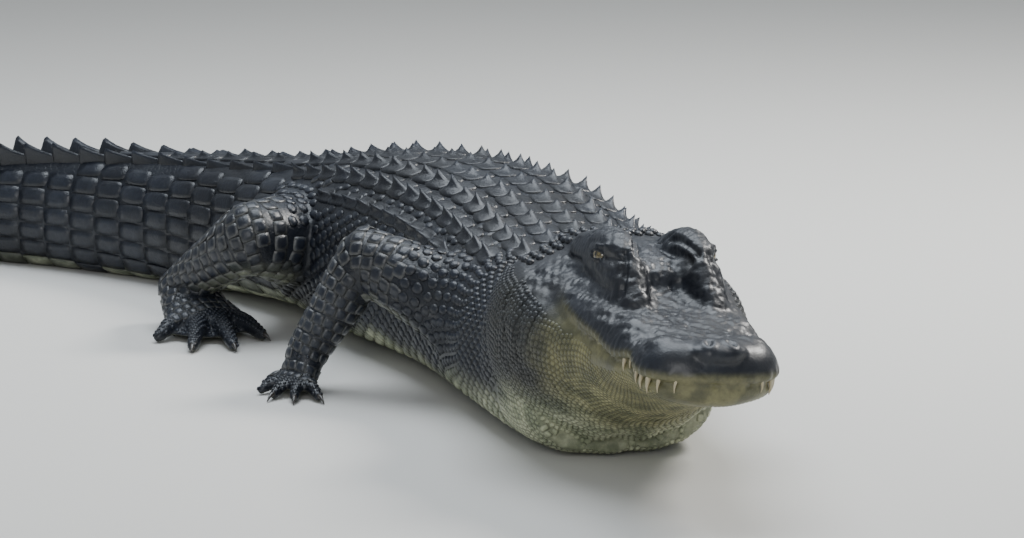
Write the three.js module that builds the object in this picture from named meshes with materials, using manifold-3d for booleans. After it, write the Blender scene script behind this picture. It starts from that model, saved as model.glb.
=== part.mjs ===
// An adult American alligator resting with its head raised, as a life-size still model.
// Millimetres, +Z up. The back runs along a curved spine: s is the distance along it from the hip,
// forwards positive. Behind the hip it bends into the tail, ahead of it into the chest, neck and head.
import * as THREE from "three";
import { ConvexGeometry } from "three/addons/geometries/ConvexGeometry.js";
import { LoftGeometry } from "three/addons/geometries/LoftGeometry.js";
import { mergeVertices } from "three/addons/utils/BufferGeometryUtils.js";
import Module from "manifold-3d";

const wasm = await Module();
wasm.setup();

// Driving sizes
const HEAD_LENGTH = 430;
const SKULL_REAR_S = 990;
const NAPE_S = 890;
const NECK_REAR_S = 770;
const SHOULDER_S = 680;
const VENT_S = -90;
const TAIL_TIP_S = -1640;
const GAP = 0.3;

// The spine's heading in degrees from +X, at distances s along it.
const HEADING = [
  [1450, -32],
  [990, -32],
  [850, -37],
  [680, -36],
  [500, -30],
  [340, -21],
  [170, -14],
  [0, -9],
  [-250, -3],
  [-500, 8],
  [-750, 18],
  [-1000, 34],
  [-1300, 43],
  [-1500, 37],
  [-1640, 29],
];

// The body's outline: s, half width, height of the back, height of the belly.
const BODY = [
  [1060, 112, 262, 16],
  [990, 140, 256, 0],
  [900, 150, 242, -2],
  [800, 162, 233, -2],
  [680, 177, 236, -2],
  [550, 186, 250, -2],
  [400, 192, 266, -3],
  [250, 190, 272, -3],
  [100, 172, 266, -2],
  [0, 150, 254, 6],
  [-90, 128, 238, 10],
  [-200, 110, 222, 8],
  [-350, 92, 209, 1],
  [-500, 78, 197, -1],
  [-700, 62, 178, -1],
  [-900, 49, 150, -1],
  [-1100, 36, 116, -1],
  [-1300, 25, 86, -1],
  [-1500, 14, 53, -1],
  [-1640, 4, 20, -1],
];

// A smooth value through the rows of a table whose first column is the place.
function along(table, column, at) {
  const rows = table[0][0] < table.at(-1)[0] ? table : [...table].reverse();
  const x = THREE.MathUtils.clamp(at, rows[0][0], rows.at(-1)[0]);
  let i = 0;
  while (i < rows.length - 2 && rows[i + 1][0] < x) i += 1;
  const slope = (k) => {
    const a = rows[Math.max(k - 1, 0)];
    const b = rows[Math.min(k + 1, rows.length - 1)];
    return (b[column] - a[column]) / (b[0] - a[0]);
  };
  const width = rows[i + 1][0] - rows[i][0];
  const u = (x - rows[i][0]) / width;
  const [p, q] = [rows[i][column], rows[i + 1][column]];
  const [m, n] = [slope(i) * width, slope(i + 1) * width];
  const [u2, u3] = [u * u, u * u * u];
  return (2 * u3 - 3 * u2 + 1) * p + (u3 - 2 * u2 + u) * m + (3 * u2 - 2 * u3) * q + (u3 - u2) * n;
}

// The spine on the ground plan, integrated from its heading in short steps from the hip both ways.
const STEP = 5;
const spinePoints = new Map([[0, [0, 0]]]);
for (const way of [1, -1]) {
  let [x, y] = [0, 0];
  for (let s = 0; Math.abs(s) < 1700; s += way * STEP) {
    const h = THREE.MathUtils.degToRad(along(HEADING, 1, s + (way * STEP) / 2));
    x += way * STEP * Math.cos(h);
    y += way * STEP * Math.sin(h);
    spinePoints.set(s + way * STEP, [x, y]);
  }
}

// The spine's place and its forward and right-hand directions at s.
function spineAt(s) {
  const low = Math.floor(s / STEP) * STEP;
  const [a, b] = [spinePoints.get(low), spinePoints.get(low + STEP)];
  const u = (s - low) / STEP;
  const h = THREE.MathUtils.degToRad(along(HEADING, 1, s));
  return {
    origin: new THREE.Vector3(a[0] + (b[0] - a[0]) * u, a[1] + (b[1] - a[1]) * u, 0),
    forward: new THREE.Vector3(Math.cos(h), Math.sin(h), 0),
    right: new THREE.Vector3(Math.sin(h), -Math.cos(h), 0),
  };
}

// A point given forwards, to the right and up from the spine at s.
function place(s, forward, right, up) {
  const at = spineAt(s);
  return at.origin.clone().addScaledVector(at.forward, forward).addScaledVector(at.right, right).setZ(up);
}

// The body's section is a rounded box, widest below its middle and flatter underneath.
const WIDEST = 0.44;
function sectionShape(s) {
  const tail = THREE.MathUtils.smoothstep(-s, 0, 700);
  const top = along(BODY, 2, s);
  const bottom = along(BODY, 3, s);
  return {
    half: along(BODY, 1, s),
    top,
    bottom,
    middle: bottom + (top - bottom) * WIDEST,
    upper: 2.5 - 0.4 * tail,
    lower: 3.0 - 0.3 * tail,
  };
}

const spread = (value, exponent) => Math.sign(value) * Math.abs(value) ** (2 / exponent);

function bodyRing(s, sides, grow = 0) {
  const shape = sectionShape(s);
  const ring = [];
  for (let j = 0; j < sides; j += 1) {
    const angle = (j / sides) * 2 * Math.PI;
    const [c, d] = [Math.cos(angle), Math.sin(angle)];
    const power = d > 0 ? shape.upper : shape.lower;
    const height = d > 0 ? shape.top - shape.middle : shape.middle - shape.bottom;
    const right = (shape.half + grow) * spread(c, power);
    ring.push(place(s, 0, right, shape.middle + (height + grow) * spread(d, power)));
  }
  return ring;
}

// The place on the back at a share of the half width to the right, with its outward and rightward directions.
function backAt(s, share) {
  const shape = sectionShape(s);
  const surface = (f) => {
    const up = (1 - Math.abs(f) ** shape.upper) ** (1 / shape.upper);
    return place(s, 0, shape.half * f, shape.middle + (shape.top - shape.middle) * up);
  };
  const crown = (at) => place(at, 0, 0, sectionShape(at).top);
  const side = surface(share + 0.02).sub(surface(share - 0.02)).normalize();
  const rise = crown(s + 10).sub(crown(s - 10)).normalize();
  const forward = rise.addScaledVector(side, -rise.dot(side)).normalize();
  return { point: surface(share), side, forward, out: new THREE.Vector3().crossVectors(side, forward) };
}

// Solids
function solid(geometry) {
  const bare = new THREE.BufferGeometry();
  bare.setAttribute("position", geometry.getAttribute("position").clone());
  if (geometry.index) bare.setIndex(geometry.index.clone());
  const merged = mergeVertices(bare, 1e-3);
  const index = [...merged.index.array];
  const kept = [];
  for (let i = 0; i < index.length; i += 3) {
    const [a, b, c] = index.slice(i, i + 3);
    if (a !== b && b !== c && a !== c) kept.push(a, b, c);
  }
  return new wasm.Manifold(
    new wasm.Mesh({
      numProp: 3,
      vertProperties: new Float32Array(merged.attributes.position.array),
      triVerts: new Uint32Array(kept),
    }),
  );
}

// A closed skin through rings, each ring turned to run the way that leaves the faces pointing out.
function loft(rings) {
  const middle = (ring) => ring.reduce((sum, p) => sum.add(p), new THREE.Vector3()).divideScalar(ring.length);
  const way = middle(rings.at(-1)).sub(middle(rings[0]));
  const area = new THREE.Vector3();
  const first = rings[0];
  first.forEach((p, i) => area.add(new THREE.Vector3().crossVectors(p, first[(i + 1) % first.length])));
  const sections = area.dot(way) > 0 ? rings : rings.map((ring) => [...ring].reverse());
  return solid(new LoftGeometry(sections, { capStart: true, capEnd: true }));
}

const hull = (points) => solid(new ConvexGeometry(points));
const joined = (pieces) => pieces.reduce((sum, piece) => sum.add(piece));
const FLOOR = [0, 0, 1];

function largest(body) {
  return body.decompose().sort((a, b) => b.volume() - a.volume())[0];
}

const group = new THREE.Group();
function node(name, body, material) {
  const whole = largest(body.trimByPlane(FLOOR, 0));
  const mesh = whole.getMesh();
  const geometry = new THREE.BufferGeometry();
  geometry.setAttribute("position", new THREE.BufferAttribute(new Float32Array(mesh.vertProperties), 3));
  geometry.setIndex(new THREE.BufferAttribute(new Uint32Array(mesh.triVerts), 1));
  geometry.computeVertexNormals();
  const made = new THREE.Mesh(geometry, material);
  made.name = name;
  group.add(made);
  return whole;
}

const HIDE = new THREE.MeshStandardMaterial({ color: 0x23262b, roughness: 0.55, metalness: 0 });
const JAW = new THREE.MeshStandardMaterial({ color: 0x6f6c4c, roughness: 0.6, metalness: 0 });
const EYE = new THREE.MeshStandardMaterial({ color: 0x5a4a22, roughness: 0.15, metalness: 0 });

// What lies ahead of s, or behind it, less half the gap.
function ahead(body, s) {
  const { origin, forward } = spineAt(s);
  return body.trimByPlane([forward.x, forward.y, 0], origin.dot(forward) + GAP / 2);
}
function behind(body, s) {
  const { origin, forward } = spineAt(s);
  return body.trimByPlane([-forward.x, -forward.y, 0], GAP / 2 - origin.dot(forward));
}
const ended = (body, from, to) => behind(ahead(body, from), to);

// A stretch of the body between two places, its ends drawn back by half the gap.
function stretch(from, to, step, sides, grow = 0) {
  const [low, high] = [from + GAP / 2 - grow, to - GAP / 2 + grow];
  const count = Math.max(2, Math.round((high - low) / step));
  const sections = [];
  for (let i = 0; i <= count; i += 1) sections.push(bodyRing(low + ((high - low) * i) / count, sides, grow));
  return loft(sections);
}

// A keeled plate on the back: a low bevelled oblong whose ridge climbs backwards to a point.
const SUNK = 6;
function scute(s, share, length, width, keel, grow = 0) {
  const { point, side, forward, out } = backAt(s, share);
  const at = (f, r, u) =>
    point
      .clone()
      .addScaledVector(forward, f * (length + 2 * grow))
      .addScaledVector(side, r * (width + 2 * grow))
      .addScaledVector(out, u + grow);
  const points = [at(0.36, 0, keel * 0.4), at(-0.34, 0, keel)];
  for (const f of [-0.5, 0.5]) {
    for (const r of [-0.5, 0.5]) points.push(at(f, r, -SUNK));
  }
  return hull(points);
}

// A crest blade on the tail: thin across, its front edge long and sloping, its back edge steep.
function blade(s, share, length, thick, height, lean) {
  const { point, side, forward, out } = backAt(s, share);
  const up = out.clone().lerp(new THREE.Vector3(0, 0, 1), 0.6).addScaledVector(side, lean).normalize();
  const at = (f, r, u) =>
    point
      .clone()
      .addScaledVector(forward, f * length)
      .addScaledVector(side, r * thick)
      .addScaledVector(up, u);
  const points = [];
  for (const r of [-0.5, 0.5]) {
    points.push(at(0.5, r, -SUNK), at(-0.5, r, -SUNK), at(-0.5, r * 0.6, height * 0.4));
  }
  points.push(at(0.5, 0, height * 0.5), at(-0.42, 0, height));
  return hull(points);
}

// The back's armour: cross rows from the shoulders to the vent, each row from four to eight plates wide.
const ROW_PITCH = 50;
const COLUMNS = [0.135, 0.4, 0.635, 0.83];
function backPlates(from, to, grow = 0) {
  const plates = [];
  for (let s = NECK_REAR_S - 20; s > VENT_S; s -= ROW_PITCH) {
    if (s < from || s > to) continue;
    const columns = s > 700 ? 2 : s > 600 || s < 60 ? 3 : 4;
    const half = along(BODY, 1, s);
    for (let c = 0; c < columns; c += 1) {
      const width = [0.25, 0.24, 0.2, 0.15][c] * half;
      const keel = [11, 14, 16, 12][c];
      for (const hand of [-1, 1]) {
        plates.push(scute(s, hand * COLUMNS[c], ROW_PITCH * 0.9, width, keel, grow));
      }
    }
  }
  return plates;
}

// The tail's whorls: a double crest that draws together, keeled plates between it at the base,
// then a single crest.
const WHORLS = 32;
const CREST_JOINS = 16;
function whorlAt(k) {
  const u = k / WHORLS;
  return VENT_S - 24 - (VENT_S - TAIL_TIP_S) * (1.35 * u - 0.35 * u * u) * 0.985;
}
function tailPlates(from, to) {
  const plates = [];
  for (let k = 0; k < WHORLS; k += 1) {
    const s = whorlAt(k);
    if (s < from || s > to) continue;
    const pitch = s - whorlAt(k + 1);
    const half = along(BODY, 1, s);
    const rise = THREE.MathUtils.smoothstep(k, 3, 11);
    const fade = 1 - THREE.MathUtils.smoothstep(k, 19, WHORLS + 4);
    if (k < CREST_JOINS) {
      const share = 0.52 - 0.3 * (k / CREST_JOINS);
      const height = 14 + 26 * rise;
      for (const hand of [-1, 1]) {
        plates.push(blade(s, hand * share, pitch * 1.02, 15 - 4 * rise, height, hand * 0.16));
        if (k < 6) plates.push(scute(s, hand * 0.17, pitch * 0.88, half * 0.28, 9));
        if (k < 8) plates.push(scute(s, hand * 0.8, pitch * 0.88, half * 0.2, 9));
      }
    } else {
      plates.push(blade(s, 0, pitch * 1.02, Math.min(12, half * 0.6), 12 + 30 * fade, 0));
    }
  }
  return plates;
}

// The head's own frame: t back from the snout's tip, r to the right, u up from the mouth line.
const HEAD_PITCH = THREE.MathUtils.degToRad(5.5);
const HEAD_ROLL = THREE.MathUtils.degToRad(3.5);
const MOUTH_REAR_HEIGHT = 214;
const skullRear = spineAt(SKULL_REAR_S);
const level = skullRear.forward;
const headForward = level.clone().multiplyScalar(Math.cos(HEAD_PITCH)).setZ(-Math.sin(HEAD_PITCH));
const headUp = level.clone().multiplyScalar(Math.sin(HEAD_PITCH)).setZ(Math.cos(HEAD_PITCH));
headUp.applyAxisAngle(headForward, -HEAD_ROLL);
const headRight = new THREE.Vector3().crossVectors(headForward, headUp);
const snoutTip = skullRear.origin.clone().setZ(MOUTH_REAR_HEIGHT).addScaledVector(headForward, HEAD_LENGTH);
function headPoint(t, r, u) {
  return snoutTip
    .clone()
    .addScaledVector(headForward, -t)
    .addScaledVector(headRight, r)
    .addScaledVector(headUp, u);
}

// The head's outline: t, half width at the upper lip, height of the top, mouth line.
const UPPER = [
  [0, 24, 14, 3],
  [5, 45, 26, 1],
  [15, 66, 38, 0],
  [35, 83, 48, -2],
  [65, 91, 48, -3],
  [95, 89, 46, 4],
  [140, 97, 47, -6],
  [180, 102, 50, -1],
  [230, 108, 56, 2],
  [280, 115, 66, 6],
  [330, 122, 76, 18],
  [380, 130, 77, 30],
  [430, 131, 75, 34],
  [470, 126, 74, 36],
];

// The lower jaw's outline: t, half width, depth below the mouth line's zero.
const LOWER = [
  [6, 34, -16],
  [14, 54, -25],
  [35, 74, -33],
  [65, 82, -39],
  [100, 81, -48],
  [140, 89, -62],
  [180, 96, -80],
  [230, 107, -106],
  [280, 124, -134],
  [330, 140, -162],
  [380, 150, -188],
  [430, 154, -208],
  [470, 148, -216],
];
const MOUTH_OPEN = 5;
const JAW_GAP = 1.5;
const mouthLine = (t) => along(UPPER, 3, t);

// The upper half's section goes from a rounded snout to a flat table with steep sides over the jaw muscle.
const SNOUT_RING = [[1, 0.06], [1.01, 0.28], [0.93, 0.6], [0.74, 0.86], [0.42, 0.98], [0, 1]];
const SKULL_RING = [[1, 0], [0.94, 0.3], [0.76, 0.54], [0.57, 0.74], [0.47, 0.98], [0, 1]];
function upperRing(t) {
  const blend = THREE.MathUtils.smoothstep(t, 200, 330);
  const [half, top, mouth] = [1, 2, 3].map((column) => along(UPPER, column, t));
  const ring = SNOUT_RING.map(([r, u], i) => [
    THREE.MathUtils.lerp(r, SKULL_RING[i][0], blend) * half,
    THREE.MathUtils.lerp(u, SKULL_RING[i][1], blend),
  ]);
  const open = MOUTH_OPEN * (1 - THREE.MathUtils.smoothstep(t, 250, 370));
  const height = (share) => mouth + open + (top - mouth - open) * share;
  const right = ring.map(([r, share]) => headPoint(t, r, height(share)));
  const left = ring.slice(0, -1).reverse().map(([r, share]) => headPoint(t, -r, height(share)));
  const roof = [-0.55, 0, 0.55].map((share) => headPoint(t, share * half, height(0) + 0.5));
  return [...right, ...left, ...roof];
}

const JAW_RING = [[1, 0], [1.03, 0.12], [1.04, 0.28], [0.93, 0.58], [0.55, 0.88], [0.24, 1], [0, 1]];
const JOWL_RING = [[0.84, 0], [1.02, 0.11], [1.1, 0.31], [1, 0.6], [0.64, 0.87], [0.28, 1], [0, 1]];
function lowerRing(t) {
  const [half, depth] = [1, 2].map((column) => along(LOWER, column, t));
  const top = mouthLine(t) - JAW_GAP;
  const height = (share) => top + (depth - top) * share;
  const blend = THREE.MathUtils.smoothstep(t, 210, 360);
  const ring = JAW_RING.map(([r, share], i) => [
    THREE.MathUtils.lerp(r, JOWL_RING[i][0], blend) * half,
    THREE.MathUtils.lerp(share, JOWL_RING[i][1], blend),
  ]);
  const right = ring.map(([r, share]) => headPoint(t, r, height(share)));
  const left = ring.slice(0, -1).reverse().map(([r, share]) => headPoint(t, -r, height(share)));
  const floor = [-0.55, 0, 0.55].map((share) => headPoint(t, share * half, top));
  return [...right, ...left, ...floor];
}

const stations = (table, count) => {
  const [a, b] = [table[0][0], table.at(-1)[0]];
  return Array.from({ length: count + 1 }, (unused, i) => a + (b - a) * (i / count) ** 1.35);
};

// A ball of few faces, stretched along the head's or a limb's own axes.
function ball(center, radii, axes = [headForward, headRight, headUp], round = 10) {
  const geometry = new THREE.SphereGeometry(1, round, Math.max(4, Math.round(round * 0.6)));
  const sized = axes.map((axis, i) => axis.clone().multiplyScalar(radii[i]));
  geometry.applyMatrix4(new THREE.Matrix4().makeBasis(...sized).setPosition(center));
  return geometry;
}
function cornersOf(geometry) {
  const position = geometry.getAttribute("position");
  const corner = (unused, i) => new THREE.Vector3().fromBufferAttribute(position, i);
  return Array.from({ length: position.count }, corner);
}
const bulge = (center, radii, axes, round) => hull(cornersOf(ball(center, radii, axes, round)));

// Teeth, their size rising and falling along the jaw as the animal's do.
const TOOTH_FIRST = 12;
const TOOTH_LAST = 118;
const TEETH = 8;
function tooth(t, r, root, reach, thick, lean) {
  const rim = [];
  for (let k = 0; k < 6; k += 1) {
    const angle = (k / 6) * 2 * Math.PI;
    rim.push(headPoint(t + thick * Math.cos(angle), r + thick * Math.sin(angle), root));
  }
  return hull([...rim, headPoint(t, r * 1.01 + lean, root - reach)]);
}
function upperTeeth() {
  const teeth = [];
  for (let k = 0; k < TEETH; k += 1) {
    const t = TOOTH_FIRST + (TOOTH_LAST - TOOTH_FIRST) * (k / (TEETH - 1));
    const wave = 0.5 + 0.5 * Math.cos(((t - 50) / 92) * 2 * Math.PI);
    const reach = 11 + 12 * wave;
    for (const hand of [-1, 1]) {
      const r = hand * (along(UPPER, 1, t) - 6);
      teeth.push(tooth(t, r, mouthLine(t) + MOUTH_OPEN + 6, reach + 6, 3 + 1.6 * wave, 0));
    }
  }
  return teeth;
}

// Eyes, set in bony bumps that face outwards, with a brow ridge along each.
const EYE_T = 294;
const EYE_OUT = 67;
const EYE_UP = 87;
const EYE_RADIUS = 15;
const eyeCentre = (hand) => headPoint(EYE_T, hand * EYE_OUT, EYE_UP);
const brow = (hand) => cornersOf(ball(headPoint(300, hand * 49, 78), [74, 30, 43], undefined, 12));
const browRear = (hand) => cornersOf(ball(headPoint(378, hand * 56, 64), [46, 22, 31], undefined, 8));
const browFront = (hand) => cornersOf(ball(headPoint(224, hand * 52, 46), [46, 26, 24], undefined, 8));
const brows = [-1, 1].flatMap((hand) => [
  hull([...brow(hand), ...browRear(hand)]),
  hull([...brow(hand), ...browFront(hand)]),
]);
const saddle = bulge(headPoint(318, 0, 64), [76, 58, 28], undefined, 12);
const nasalDisc = bulge(headPoint(26, 0, 40), [26, 38, 14], undefined, 12);
const nostrils = [-1, 1].map((hand) => bulge(headPoint(20, hand * 16, 54), [9, 6, 9], undefined, 8));
const SOCKET = EYE_RADIUS + 0.5;
const sockets = [-1, 1].map((hand) => bulge(eyeCentre(hand), [SOCKET, SOCKET, SOCKET], undefined, 14));
const teeth = upperTeeth();
const skull = joined([loft(stations(UPPER, 17).map(upperRing)), nasalDisc, saddle, ...brows, ...teeth]);
const chin = loft(stations(LOWER, 14).map(lowerRing));
node("head", ahead(skull.subtract(joined([...nostrils, ...sockets])), SKULL_REAR_S), HIDE);
node("lower_jaw", ahead(chin.subtract(joined(teeth)), SKULL_REAR_S), JAW);
for (const [name, hand] of [["eye_right", 1], ["eye_left", -1]]) {
  node(name, bulge(eyeCentre(hand), [EYE_RADIUS, EYE_RADIUS, EYE_RADIUS], undefined, 14), EYE);
}

// Neck: it slopes down from the rear of the skull, with the cluster of large keeled plates on it.
const NUCHAL = [
  [910, 0.24, 46],
  [862, 0.24, 50],
  [862, 0.62, 42],
  [812, 0.24, 42],
  [962, 0.3, 22],
  [962, 0.6, 20],
];
function nuchal() {
  const plates = [];
  for (const [s, share, size] of NUCHAL) {
    for (const hand of [-1, 1]) plates.push(scute(s, hand * share, size, size * 0.86, size * 0.45));
  }
  return plates;
}
const skullEnd = HEAD_LENGTH + 8;
const collar = hull([...upperRing(skullEnd), ...lowerRing(skullEnd), ...bodyRing(NAPE_S, 20)]);
const nape = joined([stretch(NECK_REAR_S, SKULL_REAR_S, 44, 20), collar, ...nuchal()]);
node("neck", ended(nape, NECK_REAR_S, SKULL_REAR_S), HIDE);

// Torso and tail
const TORSO_SIDES = 20;
const trunk = joined([stretch(VENT_S, NECK_REAR_S, 58, TORSO_SIDES), ...backPlates(VENT_S, NECK_REAR_S)]);
node("torso", ended(trunk, VENT_S, NECK_REAR_S), HIDE);
const TAIL_CUTS = [VENT_S, whorlAt(5.5), whorlAt(12.5), whorlAt(20.5), TAIL_TIP_S];
["tail_base", "tail_fore", "tail_mid", "tail_tip"].forEach((name, i) => {
  const [high, low] = [TAIL_CUTS[i], TAIL_CUTS[i + 1]];
  const slice = stretch(low, high, 46, 14);
  const plates = tailPlates(low, high);
  node(name, ended(joined([slice, ...plates]), i === 3 ? low - 50 : low, high), HIDE);
});

// Limbs: the muscle between two joints is the hull of a ball at each, cut on the plane that halves
// the bend. Joints and toes are given forwards, to the outside and up from the spine at s.
const ARM = { s: SHOULDER_S, names: ["upper_arm", "forearm", "hand"], toe: [12, 8] };
const LEG = { s: 0, names: ["thigh", "shank", "foot"], toe: [16, 10] };
const ARM_RADII = [[78, 62, 76], [42, 41, 45], [28, 31, 27]];
const LEG_RADII = [[102, 74, 84], [51, 48, 54], [31, 33, 28]];
const LIMBS = [
  {
    ...ARM,
    side: "right",
    joints: [[0, 104, 118], [-138, 255, 188], [-152, 336, 56]],
    radii: ARM_RADII,
    pads: [[-122, 348, 15], [-138, 362, 14], [-160, 364, 13]],
    toes: [[-62, 336], [-66, 370], [-90, 396], [-128, 408], [-168, 396]],
  },
  {
    ...ARM,
    side: "left",
    joints: [[0, 104, 104], [-112, 206, 122], [-136, 248, 46]],
    radii: ARM_RADII,
    pads: [[-94, 232, 14], [-92, 248, 15], [-102, 266, 14]],
    toes: [[-26, 200], [-14, 226], [-16, 254], [-32, 280], [-64, 298]],
  },
  {
    ...LEG,
    side: "right",
    joints: [[0, 84, 126], [36, 246, 156], [-122, 268, 60]],
    radii: LEG_RADII,
    pads: [[-24, 240, 21], [-14, 284, 22], [-50, 316, 21]],
    toes: [[54, 238], [86, 314], [56, 366], [-34, 366]],
  },
  {
    ...LEG,
    side: "left",
    joints: [[0, 84, 118], [66, 236, 150], [-64, 268, 58]],
    radii: LEG_RADII,
    pads: [[24, 236, 21], [38, 274, 22], [28, 312, 21]],
    toes: [[66, 204], [106, 246], [108, 298], [76, 344]],
  },
];
const UP = new THREE.Vector3(0, 0, 1);
const CLAW = 20;
const grownTrunk = stretch(VENT_S, NECK_REAR_S, 58, TORSO_SIDES, GAP);
const flank = joined([grownTrunk, ...backPlates(VENT_S, NECK_REAR_S, GAP)]);
const tailRoot = stretch(VENT_S - 200, VENT_S + 5, 60, 14, GAP);
const unit = (a, b) => b.clone().sub(a).normalize();
const beyondPlane = (body, n, p) => body.trimByPlane(n.toArray(), n.dot(p) + GAP / 2);

for (const { s, side, names, joints, radii, pads, toes, toe } of LIMBS) {
  const hand = side === "right" ? 1 : -1;
  const frame = spineAt(s);
  const axes = [frame.forward, frame.right, UP];
  const point = ([f, r, u]) => place(s, f, hand * r, u);
  const lump = (center, size, round = 10) => cornersOf(ball(center, size, axes, round));
  const at = joints.map(point);
  const [root, bend, end] = at.map((center, i) => lump(center, radii[i]));
  const soles = pads.map(([f, r, size]) => point([f, r, size - 2]));
  const heel = soles.reduce((sum, p) => sum.add(p), new THREE.Vector3()).divideScalar(soles.length);
  const bendWay = unit(at[0], at[1]).add(unit(at[1], at[2])).normalize();
  const endWay = unit(at[1], at[2]).add(unit(at[2], heel)).normalize();

  const upper = beyondPlane(hull([...root, ...bend]), bendWay.clone().negate(), at[1]);
  const lower = beyondPlane(hull([...bend, ...end]), bendWay, at[1]);
  const cushions = pads.flatMap(([f, r, size]) => lump(point([f, r, size - 2]), [size, size, size], 8));
  const palm = hull([...end, ...cushions]);
  const digits = toes.flatMap(([f, r], i) => {
    const across = (i / (toes.length - 1)) * (pads.length - 1);
    const [a, b] = [pads[Math.floor(across)], pads[Math.ceil(across)]];
    const share = across - Math.floor(across);
    const [f0, r0, size] = a.map((value, j) => value + (b[j] - value) * share);
    const from = point([f0, r0, size * 1.15]);
    const tip = point([f, r, toe[1] - 1.5]);
    const claw = tip.clone().add(tip.clone().sub(from).setZ(0).setLength(CLAW)).setZ(3);
    const small = lump(tip, [toe[1] * 0.5, toe[1] * 0.5, toe[1] * 0.5], 6);
    const [knuckle, end] = [toe[0], toe[1]];
    const finger = hull([...lump(from, [knuckle, knuckle, knuckle], 8), ...lump(tip, [end, end, end], 8)]);
    return i < 3 ? [finger, hull([...small, claw])] : [finger];
  });
  const foot = beyondPlane(joined([palm, ...digits]), endWay, at[2]);
  node(`${names[0]}_${side}`, upper.subtract(flank).subtract(tailRoot), HIDE);
  node(`${names[1]}_${side}`, beyondPlane(lower, endWay.clone().negate(), at[2]).subtract(flank), HIDE);
  node(`${names[2]}_${side}`, foot, HIDE);
}

// The model stands with the middle of its outline on the origin.
const box = new THREE.Box3().setFromObject(group);
group.position.set(-(box.min.x + box.max.x) / 2, -(box.min.y + box.max.y) / 2, -box.min.z);

export default group;
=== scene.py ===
import math
import random

import bmesh
import bpy
import numpy as np
from mathutils import Matrix, Vector
from mathutils.bvhtree import BVHTree


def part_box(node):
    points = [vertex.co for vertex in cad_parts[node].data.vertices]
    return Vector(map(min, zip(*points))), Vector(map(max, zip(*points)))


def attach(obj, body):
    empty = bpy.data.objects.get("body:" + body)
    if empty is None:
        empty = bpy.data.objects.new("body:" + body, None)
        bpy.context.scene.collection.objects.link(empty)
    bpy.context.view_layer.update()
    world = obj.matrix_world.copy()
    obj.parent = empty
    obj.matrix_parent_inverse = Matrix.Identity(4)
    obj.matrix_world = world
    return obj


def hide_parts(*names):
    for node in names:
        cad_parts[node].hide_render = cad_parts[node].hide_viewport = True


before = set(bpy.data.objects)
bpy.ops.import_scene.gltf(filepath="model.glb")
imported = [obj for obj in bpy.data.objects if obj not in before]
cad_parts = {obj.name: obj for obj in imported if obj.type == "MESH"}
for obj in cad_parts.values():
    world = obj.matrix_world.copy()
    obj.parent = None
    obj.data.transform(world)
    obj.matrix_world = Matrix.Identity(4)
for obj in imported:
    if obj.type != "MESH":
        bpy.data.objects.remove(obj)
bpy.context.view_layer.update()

# s and the spine's heading in degrees
HEADING = [
    (1.45, -32), (0.99, -32), (0.85, -37), (0.68, -36), (0.5, -30), (0.34, -21), (0.17, -14), (0, -9),
    (-0.25, -3), (-0.5, 8), (-0.75, 18), (-1.0, 34), (-1.3, 43), (-1.5, 37), (-1.64, 29),
]
# s, half width, height of the back, height of the belly
BODY = [
    (1.06, 0.112, 0.262, 0.016), (0.99, 0.140, 0.256, 0.000), (0.9, 0.150, 0.242, -0.002),
    (0.8, 0.162, 0.233, -0.002), (0.68, 0.177, 0.236, -0.002), (0.55, 0.186, 0.250, -0.002),
    (0.4, 0.192, 0.266, -0.003), (0.25, 0.190, 0.272, -0.003), (0.1, 0.172, 0.266, -0.002),
    (0, 0.150, 0.254, 0.006), (-0.09, 0.128, 0.238, 0.010), (-0.2, 0.110, 0.222, 0.008),
    (-0.35, 0.092, 0.209, 0.001), (-0.5, 0.078, 0.197, -0.001), (-0.7, 0.062, 0.178, -0.001),
    (-0.9, 0.049, 0.150, -0.001), (-1.1, 0.036, 0.116, -0.001), (-1.3, 0.025, 0.086, -0.001),
    (-1.5, 0.014, 0.053, -0.001), (-1.64, 0.004, 0.020, -0.001),
]
HEAD_LENGTH = 0.43
# Places along the spine. The hull of the body ends inside the head, at SKIN_FRONT.
FRONT_END = 1.1
SKIN_FRONT = 1.03
SKULL_REAR = 0.99
NAPE = 0.875
NECK_REAR = 0.77
SHOULDER = 0.68
VENT = -0.09
TAIL_TIP = -1.64
# Height of the body's widest point as a share of its depth
WIDEST = 0.44
BODY_RINGS, BODY_POINTS = 300, 96
# Least height of the skin and of the plates over the floor
SKIN_GAP = 0.0005
COAT_GAP = 0.0003
HANDS = (("right", 1), ("left", -1))
UP = Vector((0, 0, 1))
DOWN = Vector((0, 0, -1))


def along(table, column, at):
    """A smooth value through the rows of a table whose first column is the place."""
    rows = np.array(sorted(table), dtype=float)
    x, y = rows[:, 0], rows[:, column]
    at = np.clip(np.asarray(at, dtype=float), x[0], x[-1])
    slope = np.empty(len(x))
    slope[1:-1] = (y[2:] - y[:-2]) / (x[2:] - x[:-2])
    slope[0] = (y[1] - y[0]) / (x[1] - x[0])
    slope[-1] = (y[-1] - y[-2]) / (x[-1] - x[-2])
    i = np.clip(np.searchsorted(x, at, side="right") - 1, 0, len(x) - 2)
    w = x[i + 1] - x[i]
    u = (at - x[i]) / w
    a = (2 * u**3 - 3 * u**2 + 1) * y[i] + (u**3 - 2 * u**2 + u) * slope[i] * w
    return a + (3 * u**2 - 2 * u**3) * y[i + 1] + (u**3 - u**2) * slope[i + 1] * w


def smooth(x, low, high):
    """A soft step from 0 at low to 1 at high."""
    u = np.clip((np.asarray(x, dtype=float) - low) / (high - low), 0, 1)
    return u * u * (3 - 2 * u)


def fall(x, low, high):
    """A soft step from 1 at low to 0 at high."""
    return smooth(-np.asarray(x, dtype=float), -high, -low)


def circle(count):
    return np.linspace(0, math.tau, count, endpoint=False)


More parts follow.
